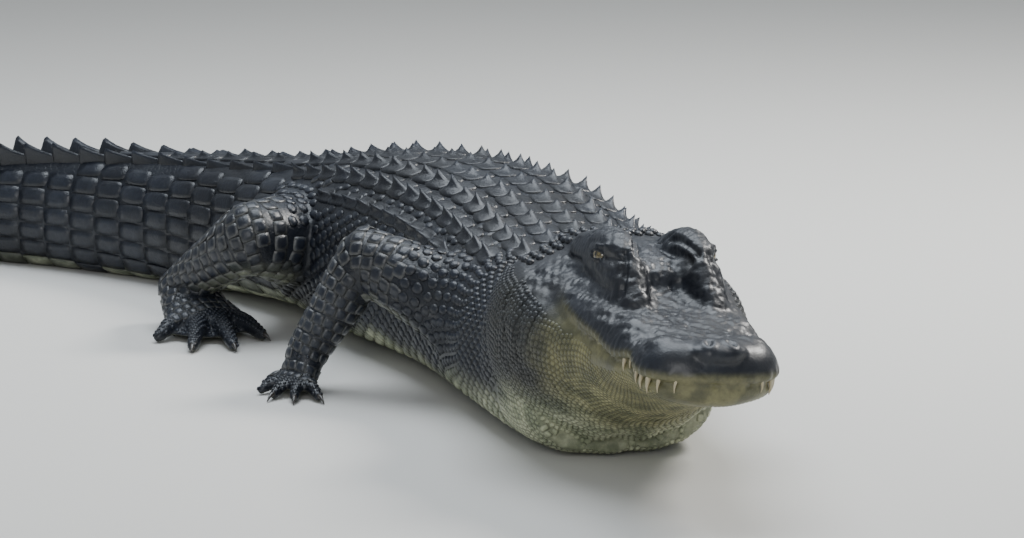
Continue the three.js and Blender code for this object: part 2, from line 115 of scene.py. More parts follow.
# The spine on the ground plan, summed up in short steps from its heading
STEP = 0.005
SPINE_REACH = 1.7
steps = np.arange(-SPINE_REACH, SPINE_REACH + STEP / 2, STEP)
headings = np.radians(along(HEADING, 1, steps[:-1] + STEP / 2))
plan = np.zeros((len(steps), 2))
plan[1:, 0] = np.cumsum(np.cos(headings)) * STEP
plan[1:, 1] = np.cumsum(np.sin(headings)) * STEP
plan -= plan[np.argmin(abs(steps))]


def spine(s):
    """Place, forward and right-hand directions of the spine at s (arrays)."""
    s = np.asarray(s, dtype=float)
    h = np.radians(along(HEADING, 1, s))
    zero = np.zeros_like(s)
    here = np.stack([np.interp(s, steps, plan[:, 0]), np.interp(s, steps, plan[:, 1]), zero], -1)
    forward = np.stack([np.cos(h), np.sin(h), zero], -1)
    right = np.stack([np.sin(h), -np.cos(h), zero], -1)
    return here, forward, right


# The head's frame: t back from the snout's tip, r to the right, u up from the mouth line
HEAD_PITCH = math.radians(5.5)
HEAD_ROLL = math.radians(3.5)
MOUTH_REAR_HEIGHT = 0.214
rear_at, rear_forward, rear_right = spine(SKULL_REAR)
head_forward = rear_forward * math.cos(HEAD_PITCH) - np.array([0, 0, math.sin(HEAD_PITCH)])
head_up = rear_forward * math.sin(HEAD_PITCH) + np.array([0, 0, math.cos(HEAD_PITCH)])
head_up = head_up * math.cos(HEAD_ROLL) - rear_right * math.sin(HEAD_ROLL)
head_right = np.cross(head_forward, head_up)
snout_tip = rear_at + np.array([0, 0, MOUTH_REAR_HEIGHT]) + head_forward * HEAD_LENGTH

# Place of the right eye in the head's frame
EYE_T = 0.294
EYE_OUT = 0.067
EYE_UP = 0.087
EYE_RADIUS = 0.015


def head_offset(t, r, u):
    t, r, u = (np.asarray(v, dtype=float)[..., None] for v in (t, r, u))
    return snout_tip - head_forward * t + head_right * r + head_up * u


# The ground plan is moved so that the right eye comes where the frame has it
low, high = (np.array(v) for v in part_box("eye_right"))
SHIFT = (low + high) / 2 - head_offset(EYE_T, EYE_OUT, EYE_UP)
SHIFT[2] = 0


def place(s, right, up, forward=0.0):
    """A point beside, above and ahead of the spine at s."""
    here, ahead, side = spine(s)
    right, up, forward = (np.asarray(v, dtype=float)[..., None] for v in (right, up, forward))
    return here + SHIFT + ahead * forward + side * right + np.array([0, 0, 1.0]) * up


def head_point(t, r, u):
    return head_offset(t, r, u) + SHIFT


def section(s):
    """The body's rounded-box section: half width, top, bottom, widest height, upper and lower exponents."""
    tail = fall(s, -0.7, 0)
    half, top, bottom = (along(BODY, c, s) for c in (1, 2, 3))
    return half, top, bottom, bottom + (top - bottom) * WIDEST, 2.5 - 0.4 * tail, 3.0 - 0.3 * tail


def body_ring(s):
    """Points round the body at s, from its right over the back."""
    s, angle = np.full(BODY_POINTS, s), circle(BODY_POINTS)
    half, top, bottom, middle, upper, lower = section(s)
    c, d = np.cos(angle), np.sin(angle)
    power = np.where(d > 0, upper, lower)
    height = np.where(d > 0, top - middle, middle - bottom)
    right = half * np.sign(c) * np.abs(c) ** (2 / power)
    return place(s, right, middle + height * np.sign(d) * np.abs(d) ** (2 / power))


def new_object(name, data):
    obj = bpy.data.objects.new(name, data)
    bpy.context.scene.collection.objects.link(obj)
    return obj


def shade_smooth(mesh):
    mesh.polygons.foreach_set("use_smooth", [True] * len(mesh.polygons))


def mesh_object(name, verts, faces, material=None, shade=True):
    mesh = bpy.data.meshes.new(name)
    mesh.from_pydata([tuple(v) for v in np.asarray(verts)], [], [tuple(f) for f in faces])
    mesh.validate()
    mesh.update()
    if shade:
        shade_smooth(mesh)
    if material:
        mesh.materials.append(material)
    return new_object(name, mesh)


def tube(rings):
    """Vertices and faces of a closed skin through rings (an array of rings x points x 3)."""
    rings = np.asarray(rings)
    n, m = rings.shape[:2]
    verts = np.concatenate([rings.reshape(-1, 3), [rings[0].mean(0)], [rings[-1].mean(0)]])
    faces = []
    for i in range(n - 1):
        for j in range(m):
            k = (j + 1) % m
            faces.append((i * m + j, i * m + k, (i + 1) * m + k, (i + 1) * m + j))
    for j in range(m):
        k = (j + 1) % m
        faces.append((n * m, k, j))
        faces.append((n * m + 1, (n - 1) * m + j, (n - 1) * m + k))
    return verts, faces


# Outlines of the head. Upper: t, half width, height of the top, height of the mouth line.
UPPER = [
    (0, 0.024, 0.014, 0.003), (0.005, 0.045, 0.026, 0.001), (0.015, 0.066, 0.038, 0),
    (0.035, 0.083, 0.048, -0.002), (0.065, 0.091, 0.048, -0.003), (0.095, 0.089, 0.046, 0.004),
    (0.14, 0.097, 0.047, -0.006), (0.18, 0.102, 0.05, -0.001), (0.23, 0.108, 0.056, 0.002),
    (0.28, 0.115, 0.066, 0.006), (0.33, 0.122, 0.076, 0.018), (0.38, 0.13, 0.077, 0.03),
    (0.43, 0.131, 0.075, 0.034), (0.47, 0.126, 0.074, 0.036),
]
# Lower: t, half width, height of the underside
LOWER = [
    (0.006, 0.034, -0.016), (0.014, 0.054, -0.025), (0.035, 0.074, -0.033), (0.065, 0.082, -0.039),
    (0.1, 0.081, -0.048), (0.14, 0.089, -0.062), (0.18, 0.096, -0.08), (0.23, 0.107, -0.106),
    (0.28, 0.124, -0.134), (0.33, 0.14, -0.162), (0.38, 0.15, -0.188), (0.43, 0.154, -0.208),
    (0.47, 0.148, -0.216),
]
# Half rings of the jaws, as shares of the half width and of the height from the mouth
SNOUT_RING = [(1, 0.0), (1.01, 0.28), (0.93, 0.6), (0.74, 0.86), (0.42, 0.98), (0, 1)]
SKULL_RING = [(1, 0), (0.94, 0.3), (0.76, 0.54), (0.57, 0.74), (0.47, 0.98), (0, 1)]
JAW_RING = [(1, 0), (1.03, 0.12), (1.04, 0.28), (0.93, 0.58), (0.55, 0.88), (0.24, 1), (0, 1)]
JOWL_RING = [(0.84, 0), (1.02, 0.11), (1.1, 0.31), (1, 0.6), (0.64, 0.87), (0.28, 1), (0, 1)]
JAW_POINTS = 64
LID_POINTS = 9
TONGUE_POINTS = 24
MOUTH_OPEN = 0.005
JAW_OVERLAP = 0.02


def curve(points, count):
    """A smooth run of count points through the given ones, with even steps."""
    p = np.array(points, dtype=float)
    step = np.concatenate([[0], np.cumsum(np.linalg.norm(np.diff(p, axis=0), axis=1))])
    at = np.linspace(0, step[-1], count)
    table = [(a, *q) for a, q in zip(step, p)]
    return np.stack([along(table, c, at) for c in range(1, p.shape[1] + 1)], -1)


def half_ring(right, count):
    """A half outline given from the right to the middle, mirrored to the left."""
    left = [(-a, b) for a, b in right[:-1]][::-1]
    return curve(list(right) + left, count)


def jaw_ring(t, half, level, far, front, rear, blend):
    """A ring of one jaw from the mouth's level to its far side, between two outlines, with a flat lid."""
    shares = [
        ((a + (c - a) * blend) * half, level + (far - level) * (b + (d - b) * blend))
        for (a, b), (c, d) in zip(front, rear)
    ]
    lid = np.stack([np.linspace(-0.8, 0.8, LID_POINTS) * half, np.full(LID_POINTS, level)], -1)
    ring = np.concatenate([half_ring(shares, JAW_POINTS), lid])
    return head_point(np.full(len(ring), t), ring[:, 0], ring[:, 1])


def upper_rings():
    """Rings of the upper jaw and skull. The slit of the mouth closes towards the rear."""
    rings = []
    for t in np.linspace(0, 1, 90) ** 1.3 * 0.468 + 0.0005:
        half, top, mouth = (along(UPPER, c, t) for c in (1, 2, 3))
        shut = smooth(t, 0.25, 0.37)
        level = mouth + MOUTH_OPEN * (1 - shut) - JAW_OVERLAP * shut
        rings.append(jaw_ring(t, half, level, top, SNOUT_RING, SKULL_RING, smooth(t, 0.2, 0.33)))
    return rings


def lower_rings():
    rings = []
    for t in np.linspace(0, 1, 80) ** 1.2 * 0.462 + 0.006:
        half, depth = (along(LOWER, c, t) for c in (1, 2))
        ring = jaw_ring(t, half, along(UPPER, 3, t), depth, JAW_RING, JOWL_RING, smooth(t, 0.21, 0.36))
        rings.append(ring[::-1])
    return rings


def tongue_rings():
    """The flesh inside the mouth, which closes the slit a finger's width behind the lips."""
    rings = []
    for t in np.linspace(0.03, 0.4, 40):
        half = min(along(UPPER, 1, t), along(LOWER, 1, t)) - 0.018
        angle = circle(TONGUE_POINTS)
        up = along(UPPER, 3, t) + 0.014 * np.sin(angle)
        rings.append(head_point(np.full(TONGUE_POINTS, t), half * np.cos(angle), up))
    return rings


def lump(center, radii, axes, fine=2):
    """Points of a ball or egg with its own axes."""
    shape = bmesh.new()
    bmesh.ops.create_icosphere(shape, subdivisions=fine, radius=1)
    points = np.array([v.co[:] for v in shape.verts])
    shape.free()
    return np.asarray(center) + (points * np.asarray(radii)) @ np.asarray(axes)


def hull(*clouds):
    """Vertices and faces of the tight skin round clouds of points."""
    shape = bmesh.new()
    for p in np.concatenate(clouds):
        shape.verts.new(p)
    bmesh.ops.convex_hull(shape, input=shape.verts[:])
    drop = [v for v in shape.verts if not v.link_faces]
    bmesh.ops.delete(shape, geom=drop, context="VERTS")
    shape.verts.index_update()
    verts = np.array([v.co[:] for v in shape.verts])
    faces = [tuple(v.index for v in f.verts) for f in shape.faces]
    shape.free()
    return verts, faces


# Limbs. Joints and pads are forwards, outwards and up from the spine at s, and toes are tips without a height.
# radii is for the root, the bend and the end, toe for a toe's root and tip, and web is how far skin spans them.
ARM = dict(
    s=SHOULDER, radii=[(0.078, 0.062, 0.076), (0.042, 0.041, 0.045), (0.028, 0.031, 0.027)],
    toe=(0.012, 0.008), web=0.25,
)
LEG = dict(
    s=0.0, radii=[(0.102, 0.074, 0.084), (0.051, 0.048, 0.054), (0.031, 0.033, 0.028)],
    toe=(0.016, 0.010), web=0.5,
)
LIMBS = {
    "arm_right": dict(
        ARM, hand=1, joints=[(0, 0.104, 0.118), (-0.138, 0.255, 0.188), (-0.152, 0.336, 0.056)],
        pads=[(-0.122, 0.348, 0.015), (-0.138, 0.362, 0.014), (-0.160, 0.364, 0.013)],
        toes=[(-0.062, 0.336), (-0.066, 0.370), (-0.090, 0.396), (-0.128, 0.408), (-0.168, 0.396)],
    ),
    "arm_left": dict(
        ARM, hand=-1, joints=[(0, 0.104, 0.104), (-0.112, 0.206, 0.122), (-0.136, 0.248, 0.046)],
        pads=[(-0.094, 0.232, 0.014), (-0.092, 0.248, 0.015), (-0.102, 0.266, 0.014)],
        toes=[(-0.026, 0.200), (-0.014, 0.226), (-0.016, 0.254), (-0.032, 0.280), (-0.064, 0.298)],
    ),
    "leg_right": dict(
        LEG, hand=1, joints=[(0, 0.084, 0.126), (0.036, 0.246, 0.156), (-0.122, 0.268, 0.060)],
        pads=[(-0.024, 0.240, 0.021), (-0.014, 0.284, 0.022), (-0.050, 0.316, 0.021)],
        toes=[(0.054, 0.238), (0.086, 0.314), (0.056, 0.366), (-0.034, 0.366)],
    ),
    "leg_left": dict(
        LEG, hand=-1, joints=[(0, 0.084, 0.118), (0.066, 0.236, 0.150), (-0.064, 0.268, 0.058)],
        pads=[(0.024, 0.236, 0.021), (0.038, 0.274, 0.022), (0.028, 0.312, 0.021)],
        toes=[(0.066, 0.204), (0.106, 0.246), (0.108, 0.298), (0.076, 0.344)],
    ),
}


def limb_point(limb, p):
    return place(limb["s"], limb["hand"] * p[1], p[2], p[0])


def toe_line(limb, i):
    """Root and tip of toe i on the ground."""
    across = i / (len(limb["toes"]) - 1) * (len(limb["pads"]) - 1)
    a, b = limb["pads"][math.floor(across)], limb["pads"][math.ceil(across)]
    share = across - math.floor(across)
    f, r, size = (x + (y - x) * share for x, y in zip(a, b))
    root = limb_point(limb, (f, r, size * 1.15))
    f, r = limb["toes"][i]
    return root, limb_point(limb, (f, r, limb["toe"][1] - 0.001))


def limb_pieces(limb):
    _, ahead, side = spine(limb["s"])
    axes = np.array([ahead, side, (0, 0, 1)])
    at = [limb_point(limb, p) for p in limb["joints"]]
    root, bend, end = (lump(c, r, axes) for c, r in zip(at, limb["radii"]))
    pads = [lump(limb_point(limb, (f, r, z - 0.001)), (z, z, z), axes) for f, r, z in limb["pads"]]
    first = at[1] - at[0]
    broad = lump(at[0] + first * 0.1, np.array(limb["radii"][0]) * 1.16, axes)
    half = lump(at[0] + first * 0.55, np.array(limb["radii"][1]) * 1.02, axes)
    pieces = [hull(root, bend), hull(bend, end), hull(end, *pads), hull(broad, half)]
    wide, narrow = limb["toe"]
    toes = [toe_line(limb, i) for i in range(len(limb["toes"]))]
    for a, b in toes:
        knuckle = lump(a + (b - a) * 0.5 + np.array([0, 0, 0.005]), [wide * 0.86] * 3, axes)
        pieces += [hull(lump(a, [wide] * 3, axes), knuckle), hull(knuckle, lump(b, [narrow] * 3, axes))]
    for (a, b), (c, d) in zip(toes, toes[1:]):
        web = [a, c, a + (b - a) * limb["web"], c + (d - c) * limb["web"]]
        pieces.append(hull(*[lump(p * [1, 1, 0.55] + [0, 0, 0.002], [0.003] * 3, axes, 1) for p in web]))
    return pieces


EYE_CENTRES = {name: head_point(EYE_T, hand * EYE_OUT, EYE_UP) for name, hand in HANDS}
HEAD_AXES = np.array([head_forward, head_right, head_up])


def head_lump(t, r, u, radii):
    return lump(head_point(t, r, u), radii, HEAD_AXES, 3)


def head_pieces():
    upper, lower, nape = upper_rings(), lower_rings(), body_ring(NAPE)
    pieces = [tube(upper), tube(lower), tube(tongue_rings()), hull(upper[-1], nape), hull(lower[-1], nape)]
    for _, hand in HANDS:
        brow = head_lump(0.300, hand * 0.050, 0.078, (0.074, 0.032, 0.043))
        rear = head_lump(0.378, hand * 0.058, 0.064, (0.046, 0.025, 0.031))
        front = head_lump(0.224, hand * 0.052, 0.046, (0.046, 0.026, 0.024))
        pieces += [hull(brow, rear), hull(brow, front)]
    saddle = head_lump(0.318, 0, 0.064, (0.076, 0.058, 0.028))
    nose = head_lump(0.026, 0, 0.040, (0.026, 0.038, 0.014))
    return pieces + [hull(saddle), hull(nose)]


def join(name, pieces, material=None):
    """One object of several (vertices, faces)."""
    verts, faces, start = [], [], 0
    for v, f in pieces:
        verts.append(np.asarray(v))
        faces += [tuple(i + start for i in g) for g in f]
        start += len(v)
    return mesh_object(name, np.concatenate(verts), faces, material)


def apply_modifier(obj, kind, **values):
    """Replaces the object's mesh by what a modifier makes of it."""
    modifier = obj.modifiers.new(kind.title(), kind)
    for key, value in values.items():
        setattr(modifier, key, value)
    graph = bpy.context.evaluated_depsgraph_get()
    mesh = bpy.data.meshes.new_from_object(obj.evaluated_get(graph))
    obj.modifiers.remove(modifier)
    old = obj.data
    obj.data = mesh
    bpy.data.meshes.remove(old)


def coords(obj, key="co"):
    """The places of an object's vertices, or their normals."""
    out = np.empty(len(obj.data.vertices) * 3)
    obj.data.vertices.foreach_get(key, out)
    return out.reshape(-1, 3)


def set_coords(obj, co):
    obj.data.vertices.foreach_set("co", np.asarray(co, dtype=np.float32).ravel())
    obj.data.update()


def finish_mesh(obj, gap):
    """Lifts what lies too low to a gap over the floor, and shades the faces smoothly."""
    co = coords(obj)
    co[:, 2] = np.maximum(co[:, 2], gap)
    set_coords(obj, co)
    shade_smooth(obj.data)


def to_head(p):
    """Points in the head's frame: t, r and u."""
    q = np.asarray(p) - SHIFT - snout_tip
    return -(q @ head_forward), q @ head_right, q @ head_up


def gauss(x, width):
    return np.exp(-((x / width) ** 2))


def seam(t, r, points, width):
    """How near points of the head, seen from above, lie to a line through the given (t, r) points."""
    best = np.zeros_like(t)
    line = curve(points, 24)
    for a, b in zip(line, line[1:]):
        d = b - a
        share = np.clip(((t - a[0]) * d[0] + (r - a[1]) * d[1]) / (d @ d), 0, 1)
        away = np.hypot(t - a[0] - share * d[0], r - a[1] - share * d[1])
        best = np.maximum(best, gauss(away, width))
    return best


def wave_noise(p, size, seed):
    """Smooth noise from tilted waves, seven of the size and seven finer ones, about -1 to 1."""
    rng = np.random.default_rng(seed)
    total = np.zeros(len(p))
    for octave in (0, 1):
        for _ in range(7):
            way = rng.normal(size=3)
            way /= np.linalg.norm(way)
            scale = size / 1.9**octave
            total += np.sin(p @ way * (math.tau / scale) + rng.uniform(0, 7)) * 0.3 / 1.6**octave
    return np.clip(total, -1.6, 1.6)


# Slits between the brows and folds that run forwards from them: depth, width and a line of (t, r) points
SLITS = [
    (0.0065, 0.0038, [(0.350, 0.014), (0.315, 0.017), (0.280, 0.022), (0.245, 0.032)]),
    (0.0055, 0.0034, [(0.315, 0.027), (0.280, 0.032), (0.245, 0.042)]),
    (0.0040, 0.0036, [(0.375, 0.028), (0.345, 0.028), (0.325, 0.033)]),
    (0.0045, 0.0045, [(0.246, 0.056), (0.228, 0.060), (0.206, 0.070)]),
]
SNOUT_FOLD = [(0.235, 0.036), (0.205, 0.040), (0.165, 0.044)]
# Swellings over the roots of the large teeth and hollows between them: height, width, t, r and stretch of r
SWELLINGS = [
    (0.0060, 0.022, 0.145, 0.074, 1), (0.0050, 0.018, 0.062, 0.064, 1), (-0.0045, 0.030, 0.198, 0, 0.7),
    (-0.0050, 0.015, 0.098, 0.066, 1), (-0.0035, 0.012, 0.066, 0, 0.6),
]
# Folds behind the mouth and down the jowl: t, width and depth
JOWL_FOLDS = [(0.335, 0.004, 0.0020), (0.365, 0.005, 0.0030), (0.402, 0.005, 0.0030)]
LIP_BUMP = 0.0115


def carve_head(obj):
    """Moves the head's vertices along their normals into folds, swellings, pits and lips."""
    co, no = coords(obj), coords(obj, "normal")
    t, r, u = to_head(co)
    side = np.abs(r)
    top = np.clip(no @ head_up, 0, 1)
    high = smooth(u, 0.030, 0.045)
    out = np.zeros(len(co))
    for deep, width, line in SLITS:
        out -= deep * seam(t, side, line, width) * high
    out += 0.0035 * seam(t, side, SNOUT_FOLD, 0.008) * top
    for height, width, at, across, stretch in SWELLINGS:
        out += height * gauss(np.hypot(t - at, side * stretch - across), width) * top
    # two short slits on the nose, each with a raised rim
    for _, hand in HANDS:
        away = np.hypot((t - 0.024 + (r * hand - 0.013) * 0.5) / 0.008, (r * hand - 0.014) / 0.0042)
        out += (0.0022 * gauss(away - 1.7, 0.7) - 0.0050 * gauss(away, 0.9)) * smooth(u, 0.02, 0.035)
    # pits and grain of the bony top
    rough = (0.35 + 0.65 * top) * smooth(t, 0.028, 0.07) * smooth(u, 0.006, 0.03)
    rough *= 1 - smooth(t, 0.40, 0.44)
    lumps = wave_noise(co, 0.020, 3)
    pits = -np.clip(wave_noise(co, 0.0085, 4) - 0.15, 0, 1)
    out += (0.0010 * lumps + 0.0016 * pits) * rough
    # ear slit under the edge of the skull's table
    ear = gauss(u - (0.064 - (t - 0.35) * 0.12), 0.0035) * smooth(t, 0.335, 0.35) * fall(t, 0.395, 0.41)
    out -= 0.0060 * ear * (side > 0.055)
    for at, width, deep in JOWL_FOLDS:
        bend = at - 0.30 * (0.02 - u) + 0.005 * np.sin(u * 70 + at * 50)
        out -= deep * gauss(t - bend, width) * fall(u, 0.0, 0.03) * smooth(u, -0.11, -0.04) * (side > 0.07)
    out += 0.0014 * wave_noise(co, 0.05, 8) * fall(u, -0.02, 0.01) * smooth(t, 0.2, 0.3)
    # low bumps along the edge of the upper lip
    lip = along(UPPER, 3, t)
    edge = (side > along(UPPER, 1, t) * 0.8) * fall(t, 0.28, 0.31)
    out += 0.0011 * gauss(u - lip - 0.013, 0.006) * edge * (1 + np.sin(t * math.tau / LIP_BUMP))
    set_coords(obj, co + no * (out * fall(t, 0.40, 0.46))[:, None])


def eye_axes(hand):
    """Across, up and the gaze of an eye: outwards, a little forwards and up."""
    gaze = hand * head_right * 0.90 + head_forward * 0.36 + head_up * 0.26
    gaze /= np.linalg.norm(gaze)
    up = head_up - gaze * (head_up @ gaze)
    up /= np.linalg.norm(up)
    return np.cross(up, gaze), up, gaze


# Half angles of the opening between the lids in degrees, how far round the eye's centre the skin is moved,
# and how far the lids stand off the ball
LID_ACROSS = 44
LID_UP = 17
EYE_REACH = 0.055
LID_GAP = 0.0022


def carve_eyes(obj):
    """Opens each lid over the eyeball, with a rim all round, a bony brow above and a hollow below."""
    co = coords(obj)
    for name, hand in HANDS:
        across, up, gaze = eye_axes(hand)
        from_eye = co - EYE_CENTRES[name]
        reach = np.linalg.norm(from_eye, axis=1)
        near = np.nonzero(reach < EYE_REACH)[0]
        d = from_eye[near] / reach[near, None]
        ahead = d @ gaze
        # angles from the gaze in degrees, and how far outside the opening they are
        x = np.degrees(np.arctan2(d @ across, ahead))
        y = np.degrees(np.arctan2(d @ up, ahead))
        gap = LID_UP * np.sqrt(np.clip(1 - (x / LID_ACROSS) ** 2, 0, 1))
        middle = 0.002 * x * x - 4
        beyond = np.abs(x) - LID_ACROSS
        dist = np.where(beyond < 0, np.abs(y - middle) - gap, np.hypot(beyond, y - middle))
        depth = reach[near]
        inside = fall(dist, -3.0, 1.5)
        brow = gauss(y - 36 - 0.004 * x * x, 9) * gauss(x, 60)
        crease = gauss(y - 24 - 0.005 * x * x, 4) * gauss(x, 48)
        bag = gauss(y + 33 + 0.004 * x * x, 5) * gauss(x, 50)
        pull = fall(dist, 6, 36)
        target = depth * (1 - pull) + (EYE_RADIUS + LID_GAP) * pull
        target += 0.0018 * gauss(dist - 4, 4) + 0.0050 * brow - 0.0026 * crease - 0.0022 * bag
        target += 0.0014 * gauss(dist - 16, 5)
        target = target * (1 - inside) + (EYE_RADIUS - LID_GAP) * inside
        keep = np.where(ahead > 0.1, smooth(ahead, 0.1, 0.35), 0)
        depth = depth * (1 - keep) + target * keep
        co[near] = EYE_CENTRES[name] + d * depth[:, None]
    set_coords(obj, co)


def soften(obj, weight, rounds):
    """Evens out the vertices by their neighbours, each by its own weight."""
    mesh = obj.data
    edges = np.empty(len(mesh.edges) * 2, dtype=np.int64)
    mesh.edges.foreach_get("vertices", edges)
    edges = edges.reshape(-1, 2)
    co = coords(obj)
    count = np.bincount(edges.ravel(), minlength=len(co)).astype(float)
    for _ in range(rounds):
        total = np.zeros_like(co)
        for c in range(3):
            total[:, c] = np.bincount(edges[:, 0], co[edges[:, 1], c], len(co))
            total[:, c] += np.bincount(edges[:, 1], co[edges[:, 0], c], len(co))
        co += (total / count[:, None] - co) * weight[:, None]
    set_coords(obj, co)


def nearest_s(co):
    """The place along the spine of each point, by the nearest spine sample on the ground plan."""
    samples = np.arange(TAIL_TIP, FRONT_END, 0.01)
    here = spine(samples)[0][:, :2] + SHIFT[:2]
    out = np.empty(len(co))
    block = 20000
    for i in range(0, len(co), block):
        part = co[i : i + block, None, :2] - here[None]
        out[i : i + block] = samples[np.argmin((part**2).sum(-1), axis=1)]
    return out


def marks(co, no):
    """Markings of the hide: how pale the underside is, how olive the lips are, and how near the head."""
    t, _, u = to_head(co)
    head = fall(t, 0.40, 0.50)
    s = nearest_s(co)
    here, _, right = spine(s)
    away = np.abs(((co - here - SHIFT) * right).sum(-1))
    half, top, bottom = (along(BODY, c, s) for c in (1, 2, 3))
    share = (co[:, 2] - bottom) / (top - bottom)
    blotch = wave_noise(co, 0.16, 11) * 0.05
    tail = fall(s, -0.5, -0.1)
    chest = smooth(s, 0.64, 0.78)
    upper_edge = 0.22 - 0.13 * tail + 0.16 * chest
    pale = (1 - smooth(share + blotch, 0.05 - 0.05 * tail, upper_edge)) * (1 - 0.4 * tail)
    limb = smooth(away - half, 0.0, 0.03)
    pale = pale * (1 - limb) + 0.35 * limb * fall(no[:, 2], -0.95, -0.5)
    front = 1 - smooth(t, 0.20, 0.34)
    jowl = 1 - smooth(co[:, 2] + blotch * 0.25 - 0.05 * front, 0.045, 0.125)
    pale_head = jowl * np.clip(-u / 0.02, 0, 1)
    lip = along(UPPER, 3, t)
    lips = fall(u - lip, 0.008, 0.021) * fall(t, 0.26, 0.34)
    cheek = fall(u - lip, -0.03, 0.004) * (1 - 0.88 * smooth(t, 0.15, 0.28))
    olive = np.clip(0.9 * lips + 0.8 * cheek, 0, 1) * head
    pale = pale * (1 - head) + pale_head * head
    return np.stack([pale, olive, head], -1)


def store(obj, name, values, kind="FLOAT_VECTOR"):
    """Keeps a value of each vertex on the mesh."""
    attribute = obj.data.attributes.new(name, kind, "POINT")
    key = {"FLOAT": "value", "FLOAT_VECTOR": "vector"}[kind]
    attribute.data.foreach_set(key, np.asarray(values, dtype=np.float32).ravel())


VOXEL = 0.003
SKIN_TRIANGLES = 185000
SOFTENING = 14


def make_skin():
    """The flesh fused into one skin, softened, thinned out away from the head, carved and marked."""
    body = tube([body_ring(s) for s in np.linspace(TAIL_TIP - 0.004, SKIN_FRONT, BODY_RINGS)])
    pieces = [body] + head_pieces()
    for limb in LIMBS.values():
        pieces += limb_pieces(limb)
    obj = join("skin", pieces)
    apply_modifier(obj, "REMESH", mode="VOXEL", voxel_size=VOXEL, use_smooth_shade=True)
    t, _, u = to_head(coords(obj))
    # the group says how freely faces may go: nearly as they are on the head, and fully elsewhere
    plain = 1 - fall(t, 0.42, 0.47) * 0.9
    group = obj.vertex_groups.new(name="plain")
    for step in range(11):
        chosen = np.nonzero(np.abs(plain - step / 10) <= 0.05)[0]
        if len(chosen):
            group.add(chosen.tolist(), step / 10, "REPLACE")
    brows = smooth(t, 0.16, 0.21) * fall(t, 0.41, 0.44) * smooth(u, 0.03, 0.05)
    soften(obj, np.maximum((1 - fall(t, 0.38, 0.44)) * 0.45 + 0.12, brows * 0.5), SOFTENING)
    ratio = SKIN_TRIANGLES / (len(obj.data.polygons) * 2)
    apply_modifier(obj, "DECIMATE", ratio=ratio, vertex_group="plain", vertex_group_factor=3.0)
    carve_head(obj)
    carve_eyes(obj)
    obj.vertex_groups.clear()
    finish_mesh(obj, SKIN_GAP)
    store(obj, "mark", marks(coords(obj), coords(obj, "normal")))
    return obj


skin = make_skin()
skin_tree = BVHTree.FromPolygons(
    [v.co for v in skin.data.vertices], [tuple(f.vertices) for f in skin.data.polygons]
)


# Plates are set on points of the skin. Each kind is one small shape, its length towards the tail on x, its
# width on y and its height off the skin on z.
def plate_shape(name, verts, faces):
    """Keeps the small shape with each vertex's place on its patch and its height as attributes."""
    verts = np.asarray(verts, dtype=float)
    shape = mesh_object(name, verts, faces, shade=False)
    store(shape, "patch", np.stack([verts[:, 0] + 0.5, verts[:, 1] + 0.5, 0 * verts[:, 0]], -1))
    store(shape, "rise", np.clip(verts[:, 2], 0, 1), "FLOAT")
    return shape


def grid_plate(name, count, corner, height, depth=0.35, gather=0.0):
    """A plate of squares with rounded corners. height takes the places along and across, from -1 to 1."""
    nx, ny = count
    verts, faces = [], []
    for i in range(nx + 1):
        for j in range(ny + 1):
            a, b = 2 * i / nx - 1, 2 * j / ny - 1
            b = b * (1 - gather + gather * abs(b))
            pinch = 1 - corner * (a * a * b * b)
            verts.append((a * pinch / 2, b * pinch / 2, height(a, b)))
    for i in range(nx):
        for j in range(ny):
            k = i * (ny + 1) + j
            faces.append((k, k + ny + 1, k + ny + 2, k + 1))
    rim = list(range(ny + 1)) + [i * (ny + 1) + ny for i in range(1, nx + 1)]
    rim += [nx * (ny + 1) + j for j in range(ny - 1, -1, -1)]
    rim += [i * (ny + 1) for i in range(nx - 1, 0, -1)]
    first = len(verts)
    for k in rim:
        x, y, _ = verts[k]
        verts.append((x * 1.04, y * 1.04, -depth))
    for m in range(len(rim)):
        n = (m + 1) % len(rim)
        faces.append((rim[m], rim[n], first + n, first + m))
    faces.append(tuple(range(first, first + len(rim))))
    return plate_shape(name, verts, faces)


def bead_plate(name, sides, shift=0.0):
    """A round plate of a point, a shoulder, a rim and a sunk root. The point may be shifted to the rear."""
    verts, faces = [(shift, 0, 1)], []
    for radius, height, drift in ((0.27, 0.8, shift * 0.7), (0.46, 0.3, 0), (0.5, -0.5, 0)):
        for i in range(sides):
            angle = math.tau * i / sides
            verts.append((math.cos(angle) * radius + drift, math.sin(angle) * radius, height))
    for i in range(sides):
        j = (i + 1) % sides
        faces.append((0, 1 + i, 1 + j))
        for ring in (0, 1):
            a, b = 1 + ring * sides, 1 + (ring + 1) * sides
            faces.append((a + i, b + i, b + j, a + j))
    faces.append(tuple(1 + 2 * sides + i for i in range(sides - 1, -1, -1)))
    return plate_shape(name, verts, faces)


def keel_height(a, b):
    """The lengthwise keel of a scute, which climbs towards the rear, over a low rim."""
    ridge = 0.85 * (1 - abs(b)) ** 4 + 0.15 * (1 - abs(b)) ** 1.2
    climb = 0.16 + 0.84 * ((a + 1) / 1.5) ** 1.9 if a < 0.5 else 1.0 - 0.95 * (a - 0.5) / 0.5
    rim = 0.12 + 0.07 * (1 - a * a) * (1 - b**4)
    return rim + (climb - 0.09) * ridge * (0.3 if a < -0.99 else 1)


def flat_height(a, b):
    """A flat top with a bevelled edge."""
    return 1.0 if max(abs(a), abs(b)) < 0.9 else 0.3


def low_keel_height(a, b):
    return 0.4 + 0.6 * (1 - abs(b)) * (1 + a) / 2


